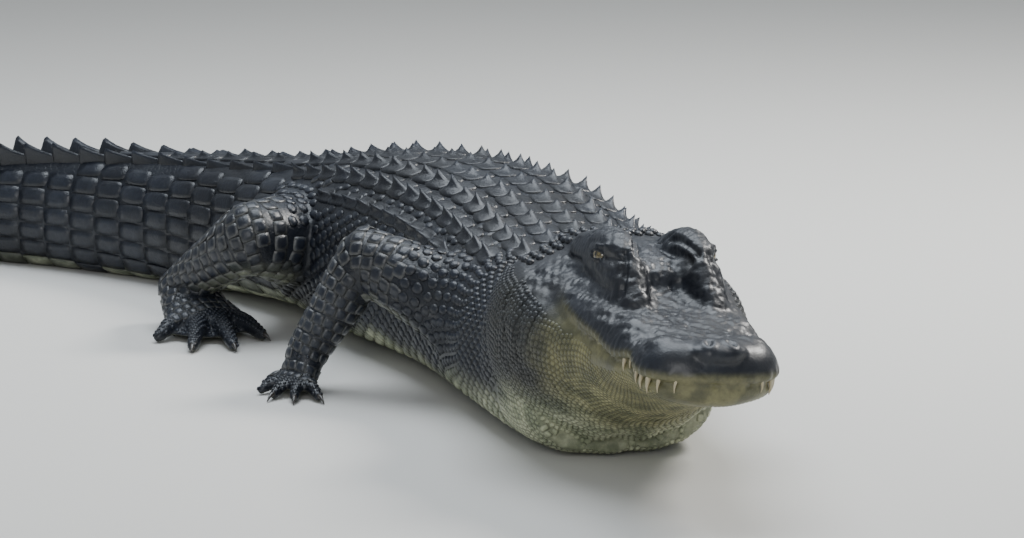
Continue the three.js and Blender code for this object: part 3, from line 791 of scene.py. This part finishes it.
def crest_shape():
    """A blade whose front edge slopes long and whose back edge is steep and hollow."""
    outline = [
        (-0.52, 0.44), (-0.30, 0.54), (-0.05, 0.67), (0.18, 0.84),
        (0.36, 1.0), (0.44, 0.9), (0.48, 0.6), (0.52, 0.3),
    ]
    verts, faces = [], []
    for x, top in outline:
        for share, thick in ((-0.25, 1.0), (0.0, 0.9), (0.35, 0.55), (0.75, 0.26)):
            z = share if share < 0 else share * top
            lean = 0.06 * max(share, 0)
            verts += [(x + lean, -0.5 * thick, z), (x + lean, 0.5 * thick, z)]
        verts.append((x + 0.06, 0, top))
    # each station has four pairs of vertices from the root up, and one on the edge
    step = 9
    for i in range(len(outline) - 1):
        a, b = i * step, (i + 1) * step
        for k in range(3):
            faces.append((a + 2 * k, b + 2 * k, b + 2 * k + 2, a + 2 * k + 2))
            faces.append((a + 2 * k + 3, b + 2 * k + 3, b + 2 * k + 1, a + 2 * k + 1))
        faces.append((a + 6, b + 6, b + 8, a + 8))
        faces.append((a + 8, b + 8, b + 7, a + 7))
        faces.append((a + 1, b + 1, b, a))
    for a, flip in ((0, False), ((len(outline) - 1) * step, True)):
        end = (a, a + 2, a + 4, a + 6, a + 8, a + 7, a + 5, a + 3, a + 1)
        faces.append(end[::-1] if flip else end)
    return plate_shape("crest_blade", verts, faces)


SHAPES = {
    "scute": grid_plate("scute", (8, 8), 0.14, keel_height, gather=0.5),
    "tile": grid_plate("tile", (3, 3), 0.10, flat_height, 0.8),
    "keeled_tile": grid_plate("keeled_tile", (4, 4), 0.14, low_keel_height, 0.5),
    "oval": bead_plate("oval", 8),
    "knob": bead_plate("knob", 8, 0.14),
    "bead": bead_plate("bead", 6),
    "blade": crest_shape(),
}

# The plates of each piece and shape, the places taken in each cell of space, and the draws that vary them
COAT = {}
TAKEN = {}
CELL = 0.03
dice = random.Random(17)


def cell_of(p):
    return tuple(math.floor(v / CELL) for v in p)


def free(p, radius):
    """Whether nothing is set within the radius of p yet."""
    i, j, k = cell_of(p)
    for a in (i - 1, i, i + 1):
        for b in (j - 1, j, j + 1):
            for c in (k - 1, k, k + 1):
                for q, other in TAKEN.get((a, b, c), ()):
                    if (p - q).length < radius + other:
                        return False
    return True


def set_plate(piece, kind, p, out, back, size, root, spacing, wild=1.0):
    """Adds a plate at p, facing out with its length along back, unless it would crowd another."""
    reach = spacing * (size[0] + size[1]) / 2
    if not free(p, reach):
        return
    TAKEN.setdefault(cell_of(p), []).append((p.copy(), reach * 0.9))
    back = (back - out * back.dot(out)).normalized()
    across = out.cross(back)
    swing = dice.gauss(0, 0.06) * wild
    back = (back * math.cos(swing) + across * math.sin(swing)).normalized()
    across = out.cross(back)
    turn = Matrix((back, across, out)).transposed().to_euler()
    vary = [1 + dice.gauss(0, spread) * wild for spread in (0.04, 0.04, 0.10)]
    size = [v * max(0.7, min(w, 1.3)) for v, w in zip(size, vary)]
    COAT.setdefault((piece, kind), []).append((p, turn, size, root, dice.uniform(-1, 1)))


def ring(centre, right, up, pitch, first, last, shift, reach, rays=110):
    """Even steps round the skin, from angle first to last: the place, its normal and its angle."""
    centre, right, up = Vector(centre), Vector(right), Vector(up)
    hits = []
    for k in range(rays + 1):
        angle = first + (last - first) * k / rays
        p, n, _, _ = skin_tree.ray_cast(centre, right * math.cos(angle) + up * math.sin(angle), reach)
        hits.append((p, n, angle) if p else None)
    out, carry = [], pitch * (0.5 + shift)
    for a, b in zip(hits, hits[1:]):
        # the run starts anew past a miss or a jump to another part
        if not (a and b) or (b[0] - a[0]).length > 0.03 + pitch:
            carry = pitch * 0.5
            continue
        step = (b[0] - a[0]).length
        while carry < step:
            u = carry / step
            out.append((a[0].lerp(b[0], u), a[1].lerp(b[1], u).normalized(), a[2] + (b[2] - a[2]) * u))
            carry += pitch
        carry -= step
    return out


def root_at(share, angle):
    """Where a plate's patch lies on the piece's map, by the share of the way along and the angle round."""
    return (0.01 + 0.97 * share, 0.01 + 0.97 * ((angle / math.tau) % 1), 0)


def body_share(s):
    return (s - TAIL_TIP) / (FRONT_END - TAIL_TIP)


def body_frame(s):
    """The body at s: centre, ways forwards and right, half width, top, widest height and upper exponent."""
    here, ahead, right = spine(s)
    half, top, _, middle, upper, _ = (float(v) for v in section(s))
    centre = Vector(here + SHIFT) + Vector((0, 0, middle))
    return centre, Vector(ahead), Vector(right), half, top, middle, upper


def back_place(s, share, drift=0.0):
    """The skin below a share of the half width: place, normal, way back, half width and root."""
    centre, ahead, right, half, top, *_ = body_frame(s + drift)
    start = centre + right * (half * share)
    start.z = top + 0.15
    p, n, _, _ = skin_tree.ray_cast(start, DOWN, 0.4)
    return p, n, -ahead, half, root_at(body_share(s), math.atan2(1, share))


# Rows of the back, and its columns: place and width as shares of the half width, and the keel's height
ROW_PITCH = 0.050
COLUMNS = [(0.135, 0.25, 0.013), (0.4, 0.24, 0.018), (0.635, 0.2, 0.020), (0.83, 0.15, 0.015)]


def dorsal_plates():
    """Keeled scutes in rows across the back, two columns a side on the neck and four on the trunk."""
    s = NECK_REAR - 0.02
    while s > VENT:
        columns = 2 if s > 0.7 else 3 if s > 0.6 or s < 0.06 else 4
        for share, wide, keel in COLUMNS[:columns]:
            for hand in (-1, 1):
                p, n, back, half, root = back_place(s, hand * share, dice.gauss(0, 0.0015))
                size = (ROW_PITCH * 0.94, wide * half * 1.04, keel)
                set_plate("back_scutes", "scute", p, n, back, size, root, 0.3, 0.8)
        s -= ROW_PITCH


# Large plates of the nape: s, share of the half width, length
NUCHAL = [(0.91, 0.24, 0.046), (0.862, 0.24, 0.05), (0.862, 0.62, 0.042), (0.812, 0.24, 0.042)]


def nuchal_plates():
    """Three pairs behind the skull and one pair beside them."""
    for s, share, size in NUCHAL:
        for hand in (-1, 1):
            p, n, back, _, root = back_place(s, hand * share)
            set_plate("back_scutes", "scute", p, n, back, (size, size * 0.86, size * 0.5), root, 0.3)


# Distances between the small scales, before each function's own changes of them
FLANK_PITCH = 0.0205
NECK_FINER = 0.0055
BELLY_PITCH = 0.026
LIMB_PITCH = 0.027
FOOT_PITCH = 0.0066
THROAT_PITCH = 0.0052
THROAT_COARSER = 0.0030


def flank_scales():
    """Ovals on the flanks and knobs on the neck's sides."""
    row = 0
    s = SKULL_REAR - 0.005
    while s > VENT:
        neck = smooth(s, 0.66, 0.78)
        pitch = FLANK_PITCH - NECK_FINER * neck
        centre, ahead, right, half, top, middle, upper = body_frame(s)
        rise = (top - middle) * (1 - 0.9**upper) ** (1 / upper)
        edge = math.atan2(rise, half * 0.9) + 0.25 + 0.8 * neck
        shift = 0.5 * (row % 2)
        for _, side in HANDS:
            for p, n, angle in ring(centre, right * side, UP, pitch, -0.75, edge, shift, half + 0.05):
                high = max(0, math.sin(angle))
                lift = 0.0025 + 0.0018 * neck * min(1, high + 0.3) + 0.0011 * high
                size = (pitch * 1.04, pitch * 0.82, lift)
                kind = "knob" if neck > 0.3 or angle > 0.35 else "oval"
                turn = angle if side > 0 else math.pi - angle
                set_plate("flank_scales", kind, p, n, -ahead, size, root_at(body_share(s), turn), 0.40)
        s -= pitch * 0.9
        row += 1


def belly_scales():
    """Flat tiles underneath, finer under the neck."""
    s = SKIN_FRONT
    while s > VENT:
        fine = 1 - 0.6 * smooth(s, 0.72, 0.92)
        centre, ahead, right, half, *_ = body_frame(s)
        for p, n, angle in ring(centre, right, UP, BELLY_PITCH * fine, -math.pi + 0.5, -0.5, 0, half + 0.05):
            size = (0.031 * fine, 0.0245 * fine, 0.0012)
            set_plate("belly_scales", "tile", p, n, -ahead, size, root_at(body_share(s), angle), 0.36, 0.5)
        s -= 0.0325 * fine


# Rings of the tail, counted from the vent, the one where the two crests join, and the rows of scutes between
WHORLS = 32
CREST_JOINS = 16
INNER_SCUTES = 6


def whorl_at(k):
    u = k / WHORLS
    return VENT - 0.024 - (VENT - TAIL_TIP) * (1.35 * u - 0.35 * u * u) * 0.985


def tail_plates():
    for k in range(WHORLS + 1):
        s = whorl_at(k)
        pitch = s - whorl_at(k + 1)
        centre, ahead, right, half, *_ = body_frame(s)
        fade = 1 - smooth(k, 19, WHORLS + 4)
        if k < CREST_JOINS:
            rise = smooth(k, 3, 11)
            for hand in (-1, 1):
                p, n, back, _, root = back_place(s, hand * (0.52 - 0.3 * k / CREST_JOINS))
                lean = (n * 0.4 + UP * 0.6 + right * hand * 0.16).normalized()
                size = (pitch * 1.06, 0.016 - 0.004 * rise, 0.014 + 0.026 * rise)
                set_plate("tail_crest", "blade", p - lean * 0.003, lean, back, size, root, 0.1, 0.5)
                if k < INNER_SCUTES:
                    p, n, back, _, root = back_place(s, hand * 0.17)
                    size = (pitch * 0.92, half * 0.3, 0.011)
                    set_plate("back_scutes", "scute", p, n, back, size, root, 0.2)
        elif s > TAIL_TIP + 0.02:
            p, _, back, _, root = back_place(s, 0)
            size = (pitch * 1.04, min(0.012, half * 0.6), 0.013 + 0.031 * fade)
            set_plate("tail_crest", "blade", p - UP * 0.003, UP, back, size, root, 0.1, 0.5)
        around = 0.030 - 0.014 * smooth(k, 6, 30)
        for p, n, angle in ring(centre, right, UP, around, -math.pi / 2, 1.5 * math.pi, 0.0, half + 0.13):
            kind = "keeled_tile" if math.sin(angle) > 0.3 and k < 8 else "tile"
            lift = 0.0060 if kind == "keeled_tile" else 0.0026
            size = (pitch * 0.95, around * 0.95, lift * (0.5 + 0.5 * fade))
            set_plate("tail_rings", kind, p, n, -ahead, size, root_at(body_share(s), angle), 0.30, 0.4)


def limb_scales():
    """Tiles in rows round each limb, finer towards the foot, then more where the rows leave a gap."""
    for index, (name, limb) in enumerate(LIMBS.items()):
        joints = [limb_point(limb, p) for p in limb["joints"]]
        piece = "arm_scales" if name.startswith("arm") else "leg_scales"
        pads = [limb_point(limb, p) for p in limb["pads"]]
        joints.append(sum(pads) / len(pads))
        path = curve(joints, 200)
        lengths = np.concatenate([[0], np.cumsum(np.linalg.norm(np.diff(path, axis=0), axis=1))])
        rows = []
        row, at = 0, 0.03
        while at < lengths[-1] - 0.005:
            rows.append((row, at))
            at += LIMB_PITCH * (1 - 0.45 * at / lengths[-1]) * 0.97
            row += 1
        rows += [(row, at + LIMB_PITCH * part) for part in (0.5, 0.25, 0.75) for row, at in rows]
        for row, at in rows:
            i = min(int(np.searchsorted(lengths, at)), 199)
            way = Vector(path[min(i + 3, 199)] - path[max(i - 3, 0)]).normalized()
            right = way.cross(UP).normalized()
            up = right.cross(way)
            share = at / lengths[-1]
            small = LIMB_PITCH * (1 - 0.45 * share)
            reach = 0.15 - 0.09 * share
            shift = 0.5 * (row % 2)
            for p, n, angle in ring(path[i], right, up, small * 0.94, 0, math.tau, shift, reach, 72):
                if n.z < -0.75 and p.z < 0.03:
                    continue
                size = (small * 0.96, small * 0.93, 0.0026 - 0.0010 * share)
                set_plate(piece, "tile", p, n, way, size, root_at((index + share) / 4, angle), 0.43, 0.6)


def foot_scales():
    """Beads in a close grid over the tops of the feet, turned away from the ankle."""
    pitch = FOOT_PITCH
    for index, limb in enumerate(LIMBS.values()):
        ends = np.array([limb_point(limb, (f, r, 0)) for f, r, *_ in limb["pads"] + limb["toes"]])
        low, high = ends.min(0) - 0.03, ends.max(0) + 0.03
        origin = Vector(limb_point(limb, limb["joints"][2]))
        nx, ny = (int((high[c] - low[c]) / pitch) for c in (0, 1))
        for i in range(nx):
            for j in range(ny):
                x = low[0] + (i + 0.5 * (j % 2)) * pitch
                p, n, _, _ = skin_tree.ray_cast(Vector((x, low[1] + j * pitch, 0.075)), DOWN, 0.072)
                if not p or n.z < 0.25:
                    continue
                out = Vector((p.x - origin.x, p.y - origin.y, 0)).normalized()
                root = ((index + i / nx) / 4 * 0.97 + 0.01, 0.01 + 0.97 * j / ny, 0)
                set_plate("foot_scales", "bead", p, n, out, (pitch * 1.05, pitch * 0.9, 0.0016), root, 0.40)


def throat_scales():
    """Fine rows across the jowls and throat, coarser towards the neck."""
    first, last = math.pi - 0.15, math.tau + 0.15
    row = 0
    t = 0.035
    while t < 0.475:
        rear = smooth(t, 0.10, 0.32)
        pitch = THROAT_PITCH + THROAT_COARSER * rear
        lip, depth = along(UPPER, 3, t), along(LOWER, 2, t)
        centre = head_point(t, 0, lip * 0.5 + depth * 0.5 if t < 0.2 else lip - 0.02)
        shift = 0.5 * (row % 2)
        for p, n, angle in ring(centre, head_right, head_up, pitch, first, last, shift, 0.26, 150):
            here, _, height = to_head(np.array(p))
            if height > along(UPPER, 3, here) - 0.010:
                continue
            size = (pitch * 1.1, pitch * 0.98, 0.0007 + 0.0008 * rear)
            root = root_at((t - 0.02) / 0.48, angle)
            set_plate("throat_scales", "bead", p, n, -Vector(head_forward), size, root, 0.38, 0.8)
        t += pitch * 0.88
        row += 1


dorsal_plates()
nuchal_plates()
tail_plates()
throat_scales()
flank_scales()
belly_scales()
limb_scales()
foot_scales()


# Finishes
def feed(socket, value):
    """Gives an input a value, or a link when the value is another node's output."""
    if isinstance(value, bpy.types.NodeSocket):
        socket.id_data.links.new(value, socket)
    else:
        socket.default_value = value


def fill(node, **values):
    """Sets each named value on the node's property or, where it has none of that name, on its input."""
    for key, value in values.items():
        if key in node.bl_rna.properties:
            setattr(node, key, value)
        else:
            feed(node.inputs[key.replace("_", " ")], value)
    return node


def add(tree, kind, **values):
    return fill(tree.nodes.new(kind), **values)


def mix(tree, factor, a, b):
    """A blend of two colours."""
    node = add(tree, "ShaderNodeMix", data_type="RGBA")
    for index, value in ((0, factor), (6, a), (7, b)):
        feed(node.inputs[index], value)
    return node.outputs[2]


def maths(tree, operation, a, b=0.5, clamp=False):
    node = add(tree, "ShaderNodeMath", operation=operation, use_clamp=clamp)
    feed(node.inputs[0], a)
    feed(node.inputs[1], b)
    return node.outputs[0]


def ranged(tree, value, low, high, to_low=0.0, to_high=1.0):
    """A value from low to high, softly brought to another range."""
    spans = dict(From_Min=low, From_Max=high, To_Min=to_low, To_Max=to_high)
    node = add(tree, "ShaderNodeMapRange", interpolation_type="SMOOTHSTEP", Value=value, **spans)
    return node.outputs["Result"]


def noise(tree, place, scale, detail, rough=0.55):
    node = add(tree, "ShaderNodeTexNoise", Vector=place, Scale=scale, Detail=detail, Roughness=rough)
    return node.outputs["Fac"]


def node_group(name, kind, inputs, outputs):
    """A group with its sockets: the tree, what it is given, what it puts out and the inputs' identifiers."""
    tree = bpy.data.node_groups.new(name, kind)
    names = {}
    for label, what in inputs.items():
        socket = tree.interface.new_socket(label, in_out="INPUT", socket_type="NodeSocket" + what)
        names[label] = socket.identifier
    for label, what in outputs.items():
        tree.interface.new_socket(label, in_out="OUTPUT", socket_type="NodeSocket" + what)
    return tree, tree.nodes.new("NodeGroupInput").outputs, tree.nodes.new("NodeGroupOutput").inputs, names


def hide_tones():
    """Colour, gloss and grain of the hide from its markings, a plate's own tone and the height on a plate,
    which paints a highlight on a plate's top and shade low on it.
    """
    inputs = {"Mark": "Vector", "Tone": "Float", "Rise": "Float", "Pale rim": "Float"}
    outputs = {"Colour": "Color", "Roughness": "Float", "Grain": "Float"}
    tree, given, put, _ = node_group("hide_tones", "ShaderNodeTree", inputs, outputs)
    place = add(tree, "ShaderNodeTexCoord").outputs["Object"]
    pale, olive, head = add(tree, "ShaderNodeSeparateXYZ", Vector=given["Mark"]).outputs
    broad = noise(tree, place, 4.5, 4)
    middling = noise(tree, place, 11, 3)
    mottle = noise(tree, place, 28, 5, 0.6)
    fine = noise(tree, place, 160, 4, 0.65)

    def times(a, b):
        return maths(tree, "MULTIPLY", a, b)

    def plus(a, b):
        return maths(tree, "ADD", a, b)

    dark = ranged(tree, broad, 0.35, 0.65)
    dark = mix(tree, dark, (0.0045, 0.0058, 0.0100, 1), (0.0115, 0.0150, 0.0235, 1))
    dark = mix(tree, ranged(tree, mottle, 0.50, 0.72, 0, 0.35), dark, (0.030, 0.035, 0.043, 1))
    dark = mix(tree, ranged(tree, middling, 0.55, 0.75, 0, 0.25), dark, (0.024, 0.020, 0.012, 1))
    light = mix(tree, ranged(tree, mottle, 0.3, 0.7), (0.25, 0.28, 0.17, 1), (0.44, 0.45, 0.32, 1))
    edge = maths(tree, "MULTIPLY", pale, ranged(tree, mottle, 0.3, 0.7, 0.7, 1.2), True)
    colour = mix(tree, edge, dark, light)
    lips = mix(tree, ranged(tree, mottle, 0.35, 0.65), (0.090, 0.088, 0.040, 1), (0.210, 0.198, 0.090, 1))
    colour = mix(tree, times(olive, 0.85), colour, lips)
    rim = times(ranged(tree, given["Rise"], 0.75, 0.2), given["Pale rim"])
    colour = mix(tree, rim, colour, (0.17, 0.17, 0.16, 1))
    # Painted highlight and shade: the colour is darkened low on each plate and lightened towards its top, as a
    # painted sheen on the tips and painted shade in the grooves. Each plate's own tone and a fine grain also
    # vary it.
    lift = plus(ranged(tree, given["Rise"], 0.0, 0.9, 0.6, 1.25), times(given["Tone"], 0.13))
    lift = times(lift, ranged(tree, fine, 0.3, 0.7, 0.85, 1.15))
    scaled = add(tree, "ShaderNodeVectorMath", operation="SCALE", Scale=lift)
    feed(scaled.inputs[0], colour)
    feed(put["Colour"], scaled.outputs[0])
    rough = plus(ranged(tree, mottle, 0.3, 0.7, 0.30, 0.46), times(pale, 0.14))
    feed(put["Roughness"], plus(rough, times(head, 0.08)))
    pits = add(tree, "ShaderNodeTexVoronoi", Scale=340, Vector=place).outputs["Distance"]
    creases = add(tree, "ShaderNodeTexVoronoi", feature="DISTANCE_TO_EDGE", Scale=120, Vector=place)
    crease = ranged(tree, creases.outputs["Distance"], 0.0, 0.12, -0.5, 0)
    grain = plus(times(pits, -0.3), times(fine, 0.5))
    feed(put["Grain"], plus(grain, times(crease, maths(tree, "SUBTRACT", 1.0, head))))
    return tree


HIDE_TONES = hide_tones()


def new_material(name, colour=(0.8, 0.8, 0.8), **values):
    """A material, its node tree and its shader with the given inputs set."""
    made = bpy.data.materials.new(name)
    made.use_nodes = True
    shader = fill(made.node_tree.nodes["Principled BSDF"], Base_Color=(*colour, 1), **values)
    return made, made.node_tree, shader


def hide_material(name, plates, bump, coat, rim=0.0):
    """The wet hide; plates carry their own tone and height."""
    made, tree, shader = new_material(name, Coat_Weight=coat, Coat_Roughness=0.28, Specular_IOR_Level=0.4)
    mark = add(tree, "ShaderNodeAttribute", attribute_name="mark").outputs["Vector"]
    tones = add(tree, "ShaderNodeGroup", node_tree=HIDE_TONES, Mark=mark, Rise=0.4, Pale_rim=rim)
    if plates:
        for key in ("tone", "rise"):
            read = add(tree, "ShaderNodeAttribute", attribute_name=key)
            feed(tones.inputs[key.title()], read.outputs["Fac"])
    raised = add(tree, "ShaderNodeBump", Strength=bump, Distance=0.0012, Height=tones.outputs["Grain"])
    colour, rough = tones.outputs["Colour"], tones.outputs["Roughness"]
    fill(shader, Base_Color=colour, Roughness=rough, Normal=raised.outputs["Normal"])
    return made


HIDE = hide_material("wet_hide", False, 0.55, 0.22)
PLATE = hide_material("wet_plates", True, 0.40, 0.30)
SCALE = hide_material("small_scales", True, 0.30, 0.18)
LIMB_SCALE = hide_material("limb_plates", True, 0.30, 0.28, 0.45)
FINISH = {
    "back_scutes": PLATE, "tail_crest": PLATE, "tail_rings": PLATE,
    "arm_scales": LIMB_SCALE, "leg_scales": LIMB_SCALE,
}


# One shape is set on every point of a mesh, turned and sized by the point's attributes
def plate_setter():
    inputs = {"Geometry": "Geometry", "Shape": "Object", "Surface": "Material", "Patch width": "Float"}
    tree, given, put, names = node_group("plate_setter", "GeometryNodeTree", inputs, {"Geometry": "Geometry"})

    def read(name):
        node = add(tree, "GeometryNodeInputNamedAttribute", data_type="FLOAT_VECTOR", Name=name)
        return node.outputs["Attribute"]

    shape = add(tree, "GeometryNodeObjectInfo", Object=given["Shape"]).outputs["Geometry"]
    turn = add(tree, "FunctionNodeEulerToRotation")
    feed(turn.inputs[0], read("turn"))
    spread = add(
        tree, "GeometryNodeInstanceOnPoints",
        Points=given["Geometry"], Instance=shape, Rotation=turn.outputs[0], Scale=read("size"),
    )
    real = add(tree, "GeometryNodeRealizeInstances", Geometry=spread.outputs["Instances"])
    across = add(tree, "ShaderNodeVectorMath", operation="SCALE", Scale=given["Patch width"])
    feed(across.inputs[0], read("patch"))
    spot = add(tree, "ShaderNodeVectorMath", operation="ADD")
    feed(spot.inputs[0], read("root"))
    feed(spot.inputs[1], across.outputs[0])
    keep = add(
        tree, "GeometryNodeStoreNamedAttribute", data_type="FLOAT2", domain="CORNER",
        Name="OFBake", Geometry=real.outputs["Geometry"], Value=spot.outputs[0],
    )
    paint = add(tree, "GeometryNodeSetMaterial", Geometry=keep.outputs["Geometry"], Material=given["Surface"])
    feed(put["Geometry"], paint.outputs["Geometry"])
    return tree, names


PLATE_SETTER, INPUTS = plate_setter()
PATCH_WIDTH = 0.003


def coat_mesh(kind, plates, material):
    """The realised plates of one kind as a plain mesh."""
    roots = np.array([p[:] for p, *_ in plates])
    obj = mesh_object("points", roots, [], shade=False)
    store(obj, "turn", [turn[:] for _, turn, *_ in plates])
    store(obj, "size", [size for _, _, size, *_ in plates])
    store(obj, "root", [root for *_, root, _ in plates])
    store(obj, "tone", [tone for *_, tone in plates], "FLOAT")
    store(obj, "mark", marks(roots, np.array([turn.to_matrix().col[2][:] for _, turn, *_ in plates])))
    setter = obj.modifiers.new("setter", "NODES")
    setter.node_group = PLATE_SETTER
    setter[INPUTS["Shape"]] = SHAPES[kind]
    setter[INPUTS["Surface"]] = material
    setter[INPUTS["Patch width"]] = PATCH_WIDTH
    graph = bpy.context.evaluated_depsgraph_get()
    mesh = bpy.data.meshes.new_from_object(obj.evaluated_get(graph))
    bpy.data.objects.remove(obj)
    for name in ("turn", "size", "root", "patch"):
        if name in mesh.attributes:
            mesh.attributes.remove(mesh.attributes[name])
    return mesh


def coat_pieces():
    """One object of each piece, joined from its shapes."""
    made = []
    for name in sorted({piece for piece, _ in COAT}):
        parts = []
        for (piece, kind), plates in sorted(COAT.items()):
            if piece == name:
                parts.append(new_object(name, coat_mesh(kind, plates, FINISH.get(name, SCALE))))
        if len(parts) > 1:
            with bpy.context.temp_override(active_object=parts[0], selected_editable_objects=parts):
                bpy.ops.object.join()
        parts[0].name = name
        finish_mesh(parts[0], COAT_GAP)
        made.append(parts[0])
    for shape in SHAPES.values():
        bpy.data.objects.remove(shape)
    return made


coat = coat_pieces()
skin.data.materials.append(HIDE)


# Eyes, teeth and claws
def eye_material():
    made, tree, shader = new_material("eye", Roughness=0.12, Coat_Weight=1.0, Coat_Roughness=0.03)
    look = add(tree, "ShaderNodeAttribute", attribute_name="look").outputs["Vector"]
    x, y, z = add(tree, "ShaderNodeSeparateXYZ", Vector=look).outputs
    across, up = (maths(tree, "MULTIPLY", maths(tree, "ABSOLUTE", v), k) for v, k in ((x, 9.0), (y, 1.6)))
    pupil = ranged(tree, maths(tree, "ADD", across, up), 0.78, 0.92)
    flecks = ranged(tree, noise(tree, look, 9, 5, 0.7), 0.35, 0.65)
    iris = mix(tree, flecks, (0.045, 0.034, 0.012, 1), (0.17, 0.135, 0.055, 1))
    iris = mix(tree, ranged(tree, z, 0.45, 0.62), (0.035, 0.03, 0.02, 1), iris)
    fill(shader, Base_Color=mix(tree, pupil, (0.003, 0.003, 0.003, 1), iris))
    return made


EYE = eye_material()


def eyeball(name, hand):
    """A ball with a slight bulge over the pupil, its own axes kept for the iris."""
    across, up, gaze = eye_axes(hand)
    shape = bmesh.new()
    bmesh.ops.create_icosphere(shape, subdivisions=5, radius=1)
    unit = np.array([v.co[:] for v in shape.verts])
    faces = [tuple(v.index for v in f.verts) for f in shape.faces]
    shape.free()
    bulge = 1 + 0.05 * np.clip((unit[:, 2] - 0.75) / 0.25, 0, 1)
    verts = EYE_CENTRES[name] + (unit * bulge[:, None] * EYE_RADIUS) @ np.array([across, up, gaze])
    ball = mesh_object("eyeball_" + name, verts, faces, EYE)
    store(ball, "look", unit)
    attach(ball, "root")
    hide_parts("eye_" + name)


for name, hand in HANDS:
    eyeball(name, hand)


def horn(points, radii):
    """A closed taper along a bent line, ending in a point."""
    count, sides = 9, 10
    path = curve(points, count)
    size = curve([(r, 0) for r in radii], count)[:, 0]
    rings = []
    for i, (p, r) in enumerate(zip(path, size)):
        way = Vector(path[min(i + 1, count - 1)] - path[max(i - 1, 0)]).normalized()
        side = way.orthogonal().normalized()
        up = np.array(way.cross(side))
        side = np.array(side)
        rings.append([p + (side * math.cos(a) + up * math.sin(a)) * r for a in circle(sides)])
    return tube(rings)


def plain_material(name, colour, roughness, **values):
    return new_material(name, colour, Roughness=roughness, Coat_Weight=0.4, Coat_Roughness=0.08, **values)[0]


IVORY = plain_material(
    "tooth_ivory", (0.38, 0.33, 0.21), 0.28, Subsurface_Weight=0.15, Subsurface_Radius=(0.004, 0.003, 0.002)
)
CLAW = plain_material("claw_horn", (0.035, 0.030, 0.026), 0.32)

# Only the three inner toes carry claws, each along a line ahead of the toe's tip and above it
CLAWED_TOES = 3
CLAW_LINE = ((-0.006, 0.001), (0.008, 0.0015), (0.020, -0.0055))
claws = []
up = np.array([0, 0, 1.0])
for limb in LIMBS.values():
    for i in range(CLAWED_TOES):
        root, tip = toe_line(limb, i)
        way = (tip - root) * [1, 1, 0]
        way /= np.linalg.norm(way)
        r = limb["toe"][1]
        line = [tip + way * ahead + up * high for ahead, high in CLAW_LINE]
        claws.append(horn(line, (r * 0.62, r * 0.5, 0.0006)))
claw_set = join("claws", claws, CLAW)

# Teeth hang from the upper lip. They are largest where the jaw swells.
TEETH = 8
TOOTH_FIRST, TOOTH_LAST = 0.012, 0.118
teeth = []
for i in range(TEETH):
    t = TOOTH_FIRST + (TOOTH_LAST - TOOTH_FIRST) * i / (TEETH - 1)
    big = 0.55 + 0.55 * (0.5 + 0.5 * math.cos((t - 0.050) / 0.092 * math.tau))
    half, lip = (along(UPPER, c, t) for c in (1, 3))
    for _, hand in HANDS:
        size = big * dice.uniform(0.8, 1.2)
        reach = 0.015 * size
        r = hand * (half - 0.0045)
        top = head_point(t, r * 0.98, lip + 0.008)
        middle = head_point(t, r, lip - reach * 0.3)
        end = head_point(t + 0.001, r * 0.985, lip - reach)
        teeth.append(horn([top, middle, end], (0.0042 * size, 0.0032 * size, 0.0005)))
tooth_set = join("teeth", teeth, IVORY)

for piece in [skin, claw_set, tooth_set] + coat:
    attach(piece, "root")
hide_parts(*[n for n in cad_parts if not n.startswith("eye_")])

# Camera, floor and light
CAMERA_AT = SHIFT + (4.314, -4.459, 1.242)
AZIMUTH = math.radians(42)
ELEVATION = math.radians(10.67)


def aim(obj, at, back):
    """Puts a camera or lamp at a place, looking away from a direction."""
    obj.location = at
    obj.rotation_euler = back.to_track_quat("Z", "Y").to_euler()


lens = bpy.data.cameras.new("camera")
lens.lens = 144.1
lens.sensor_width = 36
lens.clip_end = 100
camera = new_object("camera", lens)
level = math.cos(ELEVATION)
aim(camera, CAMERA_AT, Vector((math.sin(AZIMUTH) * level, -math.cos(AZIMUTH) * level, math.sin(ELEVATION))))
bpy.context.scene.camera = camera


def light(name, at, to, energy, size, color=(1, 1, 1)):
    data = bpy.data.lights.new(name, "AREA")
    data.energy = energy
    data.color = color
    data.size = size
    aim(new_object(name, data), at, Vector(at) - Vector(to))


light("sky_panel", (-0.3, 0.4, 3.2), (0.2, 0, 0.1), 130, 2.6, (0.86, 0.93, 1.0))
light("key", (1.6, 2.6, 3.0), (0.4, 0, 0.1), 170, 1.2, (1.0, 0.98, 0.94))
light("front_fill", (3.2, -3.6, 1.8), (0.6, -0.1, 0.1), 60, 2.2)

world = bpy.data.worlds.new("studio")
world.use_nodes = True
fill(world.node_tree.nodes["Background"], Color=(0.80, 0.87, 0.95, 1), Strength=0.40)
bpy.context.scene.world = world

pale_floor = new_material("pale_floor", (0.62, 0.61, 0.58), Roughness=0.85)[0]
edge = 30
corners = [(-edge, -edge, 0), (edge, -edge, 0), (edge, edge, 0), (-edge, edge, 0)]
floor = mesh_object("floor", corners, [(0, 1, 2, 3)], pale_floor)
